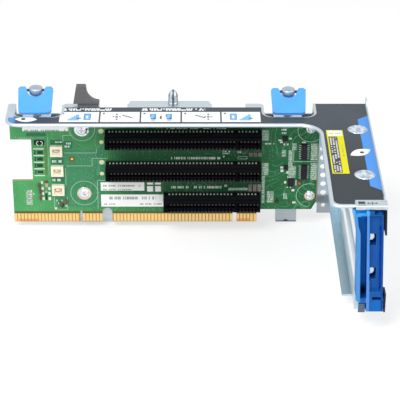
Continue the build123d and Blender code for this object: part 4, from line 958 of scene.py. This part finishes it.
def quads(name, corners):
    """Mesh of separate four-cornered faces from an array of corners, shaped (faces, 4, 3)."""
    count = len(corners)
    mesh = bpy.data.meshes.new(name)
    mesh.from_pydata(corners.reshape(-1, 3).tolist(), [], np.arange(4 * count).reshape(count, 4).tolist())
    return placed(name, mesh)


def bar_corners(bars):
    """Corners of bars, in order round each: first and second coordinates, shaped (bars, 4)."""
    left, right, low, high = np.array(bars, float).T
    return np.stack([left, right, right, left], axis=1), np.stack([low, low, high, high], axis=1)


def printed_on_board(name, bars, lift):
    """Flat bars just clear of the board's face; each bar is left, right, low and high."""
    across, up = bar_corners(bars)
    return quads(name, at(across, -lift, up))


def flat_on_plate(name, bars, height):
    """Flat bars lying at one height; each bar is left, right, front and back."""
    across, along = bar_corners(bars)
    return quads(name, at(across, along, height))


def ring_on_board(name, across, up, radius, line, lift, start=0.0, stop=2 * pi):
    """Flat ring or arc: radius and angle are its two parameters."""
    angle = np.linspace(start, stop, 65)[None, :]
    reach = np.array([radius - line / 2, radius + line / 2])[:, None]
    return surface(name, at(across + reach * np.cos(angle), -lift, up + reach * np.sin(angle)), smooth=False)


def turned(radius, height, steps=72):
    """Profile of radius and height carried round an axis; returns two grids across it and one along it."""
    angle = np.linspace(0, 2 * pi, steps, endpoint=False)[None, :]
    radius = np.asarray(radius)[:, None]
    return radius * np.cos(angle), radius * np.sin(angle), np.asarray(height)[:, None] + 0 * angle


def upright(name, across, along, radius, height):
    """Profile turned about an upright axis."""
    x, y, z = turned(radius, height)
    return closed(name, at(across + x, along + y, z))


def wear(piece, finish, body="cage"):
    """Give a new piece its finish and the body that it rides on."""
    piece.data.materials.append(finish)
    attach(piece, body)
    return piece


# Print on the board: how far it stands off, and the pitches and gaps of its dashes
RING_LINE = 0.3
RING_LIFT = 0.04
WHITE_DASH = 0.95
FINE_DASH = 0.7
DASHES_LEFT_OUT = 0.22
DASH_LENGTHS = (0.45, 0.95)
DASH_HEIGHTS = (0.18, 0.8)
CONNECTOR_LINE_ENDS = (-130.5, -124.4)
CONNECTOR_LINE_HALF = 0.32
BARE_EDGE = ((32.85, 33.3, -1.5, 34.0),)
NOTCH_STRIP = ((-124.1, -122.9, 15.6, 34.4),)
# Strokes between the lines at the side notch: their middle, half width, wave, lean and the gap at their ends
STROKE_X = -129.6
STROKE_HALF = 0.35
STROKE_WAVE = 0.45
STROKE_LEAN = 0.9
STROKE_GAP = 0.7
STROKE_LIFT = 0.05
# Arcs on the dark block above them: middle height, radius, half width, half angle and flattening
ARC_UP = 36.5
ARC_RADIUS = 1.35
ARC_HALF = 0.22
ARC_REACH = 0.45 * pi
ARC_SHIFT = 0.9
ARC_LIFT = 1.16
ARCS = ((-127.9, -1), (-125.4, 1))


def dashes(left, right, low, high, rows, dash, chance):
    """Bars of uneven length in rows inside a rectangle, with some left out."""
    columns = max(int((right - left) / dash), 1)
    start = left + np.arange(columns)[None, :] * dash + np.zeros((rows, 1))
    pitch = (high - low) / rows
    floor = low + np.arange(rows)[:, None] * pitch + np.zeros((1, columns))
    length = dash * chance.uniform(*DASH_LENGTHS, start.shape)
    kept = chance.random(start.shape) > DASHES_LEFT_OUT
    bottom, top = (floor + share * pitch for share in DASH_HEIGHTS)
    return np.stack([start, start + length, bottom, top], axis=-1)[kept]


def board_printing():
    """Screen print and flat parts: thin lines, pads, and rows of dashes beside the parts."""
    chance = np.random.default_rng(11)
    lines = [(*CONNECTOR_LINE_ENDS, height - CONNECTOR_LINE_HALF, height + CONNECTOR_LINE_HALF)
             for height in CONNECTOR_LINES]
    white = [np.array(WHITE_PADS), np.array(lines)]
    white += [dashes(*block, WHITE_DASH, chance) for block in MARK_BLOCKS]
    fine = [dashes(*block, FINE_DASH, chance) for block in PALE_BLOCKS]
    for name, bars, lift, ink in (
            ("board_lines", SILK_LINES, 0.055, "thin white print"),
            ("board_print", np.concatenate(white), 0.06, "white print"),
            ("fine_print", np.concatenate(fine), 0.06, "pale dashes"),
            ("pale_fields", [block[:4] for block in PALE_BLOCKS], 0.04, "pale print"),
            ("dark_pads", DARK_BLOCKS, 0.05, "dark pads and painted shadow"),
            ("text_ground", TEXT_GROUNDS, 0.045, "shaded green"),
            ("pink_parts", PINK_BLOCKS, 0.3, "pink part"),
            ("brown_parts", BROWN_BLOCKS, 0.3, "brown part"),
            ("red_part", RED_BLOCKS, 1.02, "red part"),
            ("bare_edge", BARE_EDGE, 0.03, "bare board edge"),
            ("notch_strip", NOTCH_STRIP, 0.04, "olive pads")):
        wear(printed_on_board(name, bars, lift), INK[ink])


def board_curves():
    """Rings round the screws; strokes at the side notch, each a ribbon that waves as a sine down its length;
    and arcs on the dark block above them."""
    for number, (across, up, radius, start, stop) in enumerate(SILK_RINGS):
        wear(ring_on_board(f"board_ring_{number}", across, up, radius, RING_LINE, RING_LIFT, start, stop),
             INK["thin white print"])
    along = np.linspace(0, 1, 13)[:, None]
    half = np.array([-STROKE_HALF, STROKE_HALF])[None, :]
    middle = STROKE_X + STROKE_WAVE * np.sin(along * 2 * pi) + STROKE_LEAN * (along - 0.5)
    for number, (low, high) in enumerate(zip(CONNECTOR_LINES[1:], CONNECTOR_LINES[:-1])):
        up = high - STROKE_GAP - (high - low - 2 * STROKE_GAP) * along
        stroke = surface(f"notch_stroke_{number}", at(middle + half, -STROKE_LIFT, up), smooth=False)
        wear(stroke, INK["dark pads and painted shadow"])
    bend = np.linspace(-ARC_REACH, ARC_REACH, 13)[:, None]
    reach = ARC_RADIUS + np.array([-ARC_HALF, ARC_HALF])[None, :]
    for number, (across, side) in enumerate(ARCS):
        x = across + side * (reach * np.cos(bend) - ARC_SHIFT)
        wear(surface(f"block_arc_{number}", at(x, -ARC_LIFT, ARC_UP + reach * np.sin(bend)), smooth=False),
             INK["white print"])


# Card slot housings with a cavity at each contact
SLOTS = (("top", 2, 89.0), ("middle", 1, 89.0), ("bottom", 0, 56.0))
SLOT_DEPTH = 11.25
SLOT_HALF_HEIGHT = 3.75
FLANGE_HEIGHT = 0.5
FLANGE_STEP = 2.4
LIP_HALF = 0.95
LIP_BEVEL = 0.3
LIP_HEIGHT = 0.35
LIP_STEP = 0.9
CAVITY_HALF = 2.3
GROOVE_DEPTH = 8.5
CAVITY_DEPTH = 6.8
MOUTH_BEVEL = 0.7
KEY_X = -14.0
KEY_HALF = 0.6
KEY_CLEARANCE = 1.2
FIRST_CONTACT = -2.6
END_WALL = 1.6
PAST_CONTACTS = 5
CAVITY_WIDTH = 0.95
TAIL_GROOVE_FRONT = 1.6
TAIL_GROOVE_BACK = 0.4
TAIL_GROOVE_DEPTH = 1.0
TAIL_HALF = 0.45
TAIL_ENDS = (-3.0, -1.2)
WALL_HALF = 0.42
# Paler wall faces above and below the mouth, as heights from the slot's middle
WALL_HEIGHTS = ((1.3, 2.3), (-3.1, -2.3))
SLOT_SHADOW = 0.75
TAIL_LIFT = 0.02
WALL_LIFT = 0.03
SHADOW_LIFT = 0.07
# The kinds of section along a housing
SOLID, GROOVED, CAVITIES, KEYED = range(4)


def slot_sections():
    """Height, depth and drop of each kind of section, point by point from the lower back edge round the front
    to the upper back edge. The key's section is solid but for the groove on top, in which the contact tails
    stand."""
    top = SLOT_HALF_HEIGHT
    lip = LIP_HALF + LIP_HEIGHT
    flange = top - FLANGE_HEIGHT
    upper = np.array([LIP_HALF, LIP_HALF, LIP_HALF + LIP_BEVEL, lip, lip, CAVITY_HALF, CAVITY_HALF, flange,
                      flange, top, top])
    rise = np.concatenate([-upper[::-1], upper, np.full(4, top)])
    solid = np.zeros(len(rise))
    solid[[0, 25]] = SLOT_DEPTH
    solid[[1, 2, 19, 20]] = FLANGE_STEP
    solid[[21, 22]] = SLOT_DEPTH - TAIL_GROOVE_FRONT
    solid[[23, 24]] = SLOT_DEPTH - TAIL_GROOVE_BACK
    grooved = solid.copy()
    grooved[[9, 12]] = MOUTH_BEVEL
    grooved[[10, 11]] = GROOVE_DEPTH
    cavities = grooved.copy()
    cavities[[5, 6, 15, 16]] = CAVITY_DEPTH
    cavities[[7, 8, 13, 14]] = LIP_STEP
    drop = np.zeros(len(rise))
    drop[[22, 23]] = TAIL_GROOVE_DEPTH
    return rise, np.stack([solid, grooved, cavities, solid]), np.stack([0 * drop, drop, drop, drop])


def slot_contacts(length):
    """Places of a slot's contacts along it, with none at the key."""
    contacts = FIRST_CONTACT - CONTACT_PITCH * np.arange(int((length - PAST_CONTACTS) / CONTACT_PITCH) + 1)
    return contacts[np.abs(contacts - KEY_X) > KEY_CLEARANCE]


def slot_edges(length, contacts):
    """Where each section stands along the housing, and its kind."""
    edges = [(0.0, SOLID), (-END_WALL, SOLID), (-END_WALL, GROOVED)]
    for contact in contacts:
        if edges[-1][0] > KEY_X > contact:
            right, left = KEY_X + KEY_HALF, KEY_X - KEY_HALF
            edges += [(right, GROOVED), (right, KEYED), (left, KEYED), (left, GROOVED)]
        right, left = contact + CAVITY_WIDTH / 2, contact - CAVITY_WIDTH / 2
        edges += [(right, GROOVED), (right, CAVITIES), (left, CAVITIES), (left, GROOVED)]
    return edges + [(END_WALL - length, GROOVED), (END_WALL - length, SOLID), (-length, SOLID)]


def slot_housing(slot, row, length):
    """Closed tube along X: the sections one after another, with each end face closed on a point at its
    middle."""
    middle = row * SLOT_PITCH
    top = middle + SLOT_HALF_HEIGHT
    rise, sections, drops = slot_sections()
    contacts = slot_contacts(length)
    places, kinds = zip(*slot_edges(length, contacts))
    kinds = list(kinds)
    tube = at(np.array(places)[:, None], sections[kinds] - SLOT_DEPTH, middle + rise[None, :] - drops[kinds])
    ends = [at(np.full((1, len(rise)), end), -SLOT_DEPTH / 2, middle) for end in (0.0, -length)]
    housing = closed(f"slot_housing_{slot}", np.concatenate([ends[0], tube, ends[1]]), smooth=False)
    wear(housing, SLOT_BLACK)
    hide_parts(f"card_slot_{slot}")
    # Bright ends of the contact tails in the groove
    tails = [(across - TAIL_HALF, across + TAIL_HALF, *TAIL_ENDS) for across in contacts]
    wear(flat_on_plate(f"tail_ends_{slot}", tails, top + TAIL_LIFT), INK["bright tail ends"])
    # Paler faces of the walls between the cavities, and a painted shadow line above the housing
    walls = [(across + CONTACT_PITCH / 2 - WALL_HALF, across + CONTACT_PITCH / 2 + WALL_HALF, middle + low,
              middle + high) for across in contacts for low, high in WALL_HEIGHTS]
    wear(printed_on_board(f"cavity_walls_{slot}", walls, SLOT_DEPTH + WALL_LIFT), INK["paler slot walls"])
    shadow = [(-length, 0.0, top, top + SLOT_SHADOW)]
    wear(printed_on_board(f"slot_shadow_{slot}", shadow, SHADOW_LIFT), INK["dark pads and painted shadow"])


# Screws: across, up and radius of the head
SCREWS = ((-102.3, 45.0, 4.4), (-102.0, 3.5, 4.2), (28.4, 45.3, 2.7), (28.9, 1.9, 3.1))
COPPER_RINGED = (1, 3)
SCREW_SKIRT_TOP = 0.78
SKIRT_EDGE = ((0.0, 0.6), (0.15, 0.75))
CROWN_SHARE = 0.72
CROWN_BOTTOM = 0.8
CROWN_RISE = 2.2
CROWN_SPREAD = 0.92
SHANK_RADIUS = 1.45
SHANK_DEPTH = 5.6
RECESS_DEPTH = 1.0
RECESS_ARM_HALF = 0.34
RECESS_ARM_SOFTNESS = 0.12
RECESS_REACH = 0.62
RECESS_END_SOFTNESS = 0.3
RING_MIDDLE = 0.86
RING_WIDTH = 0.16


def screw(number, across, up, radius):
    """Washer-faced pan head: flat skirt, domed crown, then a shank that goes into the board. The recess is a
    cross whose depth falls off smoothly at its arms' sides and ends."""
    crown = radius * CROWN_SHARE
    share = np.linspace(1, 0, 14)
    dome = CROWN_RISE * np.sqrt(np.clip(1 - (share * CROWN_SPREAD) ** 2, 0, 1))
    reach = np.concatenate([[0.0, SHANK_RADIUS, SHANK_RADIUS, radius],
                            [radius - inset for inset, _ in SKIRT_EDGE], [crown], crown * share])
    height = np.concatenate([[-SHANK_DEPTH, -SHANK_DEPTH, 0.0, 0.0], [rise for _, rise in SKIRT_EDGE],
                             [CROWN_BOTTOM], CROWN_BOTTOM + dome - dome[0]])
    x, z, y = turned(reach, height)
    arm = np.minimum(np.abs(x), np.abs(z))
    sides = np.clip((RECESS_ARM_HALF - arm) / RECESS_ARM_SOFTNESS, 0, 1)
    ends = np.clip((crown * RECESS_REACH - np.hypot(x, z)) / RECESS_END_SOFTNESS, 0, 1)
    y = y - RECESS_DEPTH * sides * ends * (y > CROWN_BOTTOM)
    return wear(closed(f"screw_head_{number}", at(across + x, -y, up + z)), METAL["bright nickel"])


# Copper bows inside the terminals: left, low, right and high of each terminal
TERMINALS = ((-120.8, 28.2, -113.8, 34.8), (-120.7, 15.3, -113.6, 21.8), (-120.6, 2.7, -113.4, 9.4))
BOW_START = 0.24
BOW_LENGTH = 0.52
BOW_WIDTH = 1.5
BOW_SHIFT = 0.3
BOW_FOOT = 1.45
BOW_RISE = 0.7
BOW_THICKNESS = 0.15


def terminal_spring(number, left, low, right, high):
    """Strip bowed along its length; its height is a half sine."""
    along = np.linspace(0, 1, 17)[:, None]
    side = np.array([-0.5, 0.5])[None, :]
    x = left + (right - left) * (BOW_START + BOW_LENGTH * along)
    y = -BOW_FOOT - BOW_RISE * np.sin(along * pi)
    z = (low + high) / 2 + BOW_SHIFT + side * BOW_WIDTH
    strip = surface(f"terminal_spring_{number}", at(x, y, z))
    strip.modifiers.new("strip", "SOLIDIFY").thickness = BOW_THICKNESS * MM
    wear(strip, METAL["copper springs"])


# Half-turn latches: side, place across, height of the cross pin, and the share of its rest height that a
# pressed spring keeps
LATCHES = (("left", -127.8, 67.4, 0.267), ("right", 15.1, 66.4, 0.289))
POST_Y = 4.6
POST_BOTTOM = 38.0
POST_RADIUS = 1.5
POST_BEVEL = 0.2
HEAD_RADIUS = 3.85
HEAD_HALF_HEIGHT = 1.9
HEAD_ROLL = 0.8
HEAD_DISH = 0.3
WASHER_THICKNESS = 0.8
SHELF_TOP = 51.6
COIL_RADIUS = 2.1
WIRE_RADIUS = 0.27
COIL_TURNS = 5.0
COIL_FLAT_END = 0.12


def latch_post(side, across, pin_height):
    """Slim shank below a broad head: the head's upper edge is a quarter circle and its crown is slightly
    dished."""
    roll = np.linspace(0, pi / 2, 7)
    low = pin_height - HEAD_HALF_HEIGHT
    top = pin_height + HEAD_HALF_HEIGHT
    edge = HEAD_RADIUS - HEAD_ROLL
    radius = np.concatenate([[0, POST_RADIUS - POST_BEVEL, POST_RADIUS, POST_RADIUS, HEAD_RADIUS - POST_BEVEL,
                              HEAD_RADIUS], edge + HEAD_ROLL * np.cos(roll), [edge - 0.6, edge - 1.0, 0]])
    height = np.concatenate([[POST_BOTTOM, POST_BOTTOM, POST_BOTTOM + POST_BEVEL, low, low, low + POST_BEVEL],
                             top - HEAD_ROLL + HEAD_ROLL * np.sin(roll), [top, top - 0.25, top - HEAD_DISH]])
    post = upright(f"turned_post_{side}", across, POST_Y, radius, height)
    wear(post, METAL["turned knob"], f"{side}_post")
    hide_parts(f"latch_post_{side}")


def coil(side, across, pin_height):
    """Round wire carried along a helix that flattens at both ends: a circle at each step of the turn."""
    low = SHELF_TOP + WIRE_RADIUS
    high = pin_height - HEAD_HALF_HEIGHT - WASHER_THICKNESS - WIRE_RADIUS
    share = np.linspace(0, 1, 221)[:, None]
    turn = share * COIL_TURNS * 2 * pi
    around = np.linspace(0, 2 * pi, 12, endpoint=False)[None, :]
    climb = np.clip((share - COIL_FLAT_END) / (1 - 2 * COIL_FLAT_END), 0, 1)
    reach = COIL_RADIUS + WIRE_RADIUS * np.cos(around)
    points = at(across + reach * np.cos(turn), POST_Y + reach * np.sin(turn),
                low + (high - low) * climb + WIRE_RADIUS * np.sin(around))
    ends = [np.broadcast_to(points[row].mean(axis=0), points[:1].shape) for row in (0, -1)]
    wire = closed(f"coil_{side}", np.concatenate([ends[0], points, ends[1]]))
    wear(wire, METAL["spring wire"])
    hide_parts(f"latch_spring_{side}")
    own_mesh(wire)


# Alignment pin's shank, groove and nose, and the two pressed joints
PLATE_TOP = 57.45
GUIDE_PIN_RADIUS = 2.75
PIN_GROOVE = 0.25
PIN_GROOVE_HEIGHTS = (1.0, 1.15, 1.65, 1.8)
PIN_SHANK = 4.6
PIN_NOSE = 3.7
PIN_TIP_RADIUS = 0.75
PIN_TIP_CAP = 0.05
JOINTS = ((52.2, -25.3), (51.6, -78.4))
JOINT_RADIUS = 5.2
JOINT_HEIGHT = 0.42
JOINT_CLEARANCE = 0.03
JOINT_RIM = 0.12
DENT_DEPTH = 0.22
DENTED_SHARE = 0.85


def guide_pin():
    """Round shank with a fine groove, under a nose that narrows as a cosine of its height."""
    rise = np.linspace(0, 1, 12)
    groove = GUIDE_PIN_RADIUS - PIN_GROOVE
    narrowing = (GUIDE_PIN_RADIUS - PIN_TIP_RADIUS) * np.cos(rise * pi / 2) ** 0.8
    radius = np.concatenate([[0, GUIDE_PIN_RADIUS, GUIDE_PIN_RADIUS, groove, groove, GUIDE_PIN_RADIUS],
                             PIN_TIP_RADIUS + narrowing, [0]])
    height = np.concatenate([[0, 0, *PIN_GROOVE_HEIGHTS], PIN_SHANK + PIN_NOSE * rise,
                             [PIN_SHANK + PIN_NOSE + PIN_TIP_CAP]])
    pin = upright("turned_guide_pin", *GUIDE_PIN, radius, PLATE_TOP + height)
    wear(pin, FINISHES["guide_pin"])
    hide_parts("guide_pin")


def pressed_joint(number, across, along):
    """Shallow button: its height falls off at the rim as a square root, and two crossed waves dent it."""
    reach = np.linspace(0, 1, 25)
    x, y, z = turned(JOINT_RADIUS * reach, 0 * reach)
    button = JOINT_HEIGHT * np.clip((1 - reach) / JOINT_RIM, 0, 1)[:, None] ** 0.5
    waves = np.sin(1.9 * x + 0.6 * y + number) * np.sin(1.1 * y - 0.5 * x + 0.4)
    dents = DENT_DEPTH * waves * np.clip((DENTED_SHARE - reach) / 0.2, 0, 1)[:, None]
    top = PLATE_TOP + JOINT_CLEARANCE + button + dents
    return wear(closed(f"joint_top_{number}", at(across + x, along + y, top)), FINISHES["cage_joints"])


# Marks on the keeper, painted shade in its window, and painted shade on the lower edge and pointer of the
# right guide tab
KEEPER_TOP = 58.25
MARK_LIFT = 0.03
WINDOW_SUNK = 0.12
KEEPER_MARKS = ((50.4, 54.8, -110.9, -110.3), (52.3, 52.9, -112.3, -108.9), (50.0, 51.0, -111.4, -109.8),
                (54.3, 55.2, -111.4, -109.8), (45.2, 49.2, -112.9, -112.3))
KEEPER_SPOT = ((57.4, 59.8, -109.0, -107.6),)
KEEPER_WINDOW = ((45.5, 48.9, -111.3, -108.5),)
WALL_INNER_Y = 6.6
TAB_LINE_LIFT = 0.04
TAB_LINES = ((9.7, 21.9, -19.35, -18.75), (14.4, 17.2, -18.8, -18.3), (15.1, 16.5, -18.4, -17.8))


def marks():
    """Flat marks just clear of the keeper's top, painted shade in its window just below it, and painted shade
    lines on the guide tab.
    """
    wear(flat_on_plate("keeper_marks", KEEPER_MARKS, KEEPER_TOP + MARK_LIFT), INK["keeper marking"])
    wear(flat_on_plate("keeper_spot", KEEPER_SPOT, KEEPER_TOP + MARK_LIFT), INK["lilac marking"])
    wear(flat_on_plate("keeper_window_painted_shade", KEEPER_WINDOW, KEEPER_TOP - WINDOW_SUNK), INK["painted shade grey"])
    wear(printed_on_board("tab_painted_shade", TAB_LINES, TAB_LINE_LIFT - WALL_INNER_Y), INK["painted shade grey"])


board_printing()
board_curves()
for side, across, pin_height, keep in LATCHES:
    latch_post(side, across, pin_height)
    coil(side, across, pin_height)
guide_pin()
buttons = [pressed_joint(number, *place) for number, place in enumerate(JOINTS)]
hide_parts("cage_joints")
marks()
for slot in SLOTS:
    slot_housing(*slot)
heads = [screw(number, *place) for number, place in enumerate(SCREWS)]
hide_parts("board_screws")
for number in COPPER_RINGED:
    across, up, radius = SCREWS[number]
    ring = ring_on_board(f"screw_ring_{number}", across, up, radius * RING_MIDDLE, radius * RING_WIDTH,
                         SCREW_SKIRT_TOP)
    wear(ring, METAL["copper springs"])
for number, terminal in enumerate(TERMINALS):
    terminal_spring(number, *terminal)


# Floor and light
FLOOR_LIFT = 0.42
FLOOR_GLOW = 1.25
FLOOR_SIZE = 3.0
WORLD_LIGHT = 0.62
LIGHT_AIM = (0.0, 0.0, 0.03)


def pale_floor():
    """White floor: the camera and reflections see it lifted towards white, and it keeps the shadow."""
    w = Finish("pale floor", Roughness=0.9, Specular_IOR_Level=0.1)
    cloud = w.noise(w.add("ShaderNodeTexCoord").outputs["Object"], 3.0)
    glow = w.add("ShaderNodeEmission", {"Color": (1, 1, 1, 1), "Strength": FLOOR_GLOW})
    lifted = w.add("ShaderNodeMixShader", {0: FLOOR_LIFT, 1: w.shader.outputs[0], 2: glow.outputs[0]})
    w.tree.links.new(lifted.outputs[0], w.output.inputs["Surface"])
    return w.done(w.mix(cloud, (0.80, 0.80, 0.80), (0.82, 0.82, 0.82)))


def make_floor():
    """Level square sheet under the object."""
    reach = np.linspace(-FLOOR_SIZE, FLOOR_SIZE, 9)
    x, y = np.meshgrid(reach, reach, indexing="ij")
    floor = surface("floor", np.stack([x, y, np.zeros_like(x)], axis=-1))
    floor.data.materials.append(pale_floor())


def area_light(name, place, size, power):
    """Square lamp that faces the object."""
    lamp = bpy.data.lights.new(name, "AREA")
    lamp.size = size
    lamp.energy = power
    holder = bpy.data.objects.new(name, lamp)
    away = np.array(place) - np.array(LIGHT_AIM)
    away = away / np.linalg.norm(away)
    side = np.cross((0.0, 0.0, 1.0), away)
    side = side / np.linalg.norm(side)
    above = np.cross(away, side)
    turn = np.eye(4)
    turn[:3] = np.stack([side, above, away, place], axis=1)
    holder.matrix_world = Matrix(turn.tolist())
    bpy.context.scene.collection.objects.link(holder)


def studio_world():
    """White surroundings that the camera and reflections see at full strength."""
    world = bpy.data.worlds.new("studio")
    world.use_nodes = True
    world.node_tree.nodes.clear()
    w = Wiring(world.node_tree)
    rays = w.add("ShaderNodeLightPath").outputs
    bent = w.math("MAXIMUM", rays["Is Glossy Ray"], rays["Is Transmission Ray"])
    seen = w.math("MAXIMUM", rays["Is Camera Ray"], bent)
    strength = w.change(seen, 0.0, 1.0, WORLD_LIGHT, 1.0)
    background = w.add("ShaderNodeBackground", {"Color": (1, 1, 1, 1), "Strength": strength})
    w.add("ShaderNodeOutputWorld", {"Surface": background.outputs[0]})
    bpy.context.scene.world = world


# Camera, worked out from the slots' known spacing
FOCAL_PIXELS = 1726.26
IMAGE_PIXELS = 400
SENSOR = 36.0
CAMERA_AZIMUTH = -0.3307
CAMERA_ELEVATION = 29.0405
CAMERA_ROLL = 0.1301
CAMERA_DISTANCE = 1.00619
CAMERA_TARGET = (-34.80, 0.0, -1.2016)


def make_camera():
    """Camera that looks at its target from a distance, turned by azimuth, elevation and roll."""
    camera = bpy.data.cameras.new("camera")
    camera.sensor_width = SENSOR
    camera.lens = SENSOR * FOCAL_PIXELS / IMAGE_PIXELS
    camera.clip_start = 0.01
    holder = bpy.data.objects.new("camera", camera)
    turn = (Matrix.Rotation(radians(CAMERA_AZIMUTH), 4, "Z")
            @ Matrix.Rotation(pi / 2 - radians(CAMERA_ELEVATION), 4, "X")
            @ Matrix.Rotation(radians(CAMERA_ROLL), 4, "Z"))
    target = at(*CAMERA_TARGET).tolist()
    holder.matrix_world = Matrix.Translation(target) @ turn @ Matrix.Translation((0, 0, CAMERA_DISTANCE))
    bpy.context.scene.collection.objects.link(holder)
    bpy.context.scene.camera = holder


make_floor()
studio_world()
area_light("key", (-0.35, -0.55, 0.95), 0.6, 9.0)
area_light("fill", (0.7, -0.5, 0.6), 0.8, 3.0)
make_camera()
bpy.context.scene.view_settings.view_transform = "Standard"
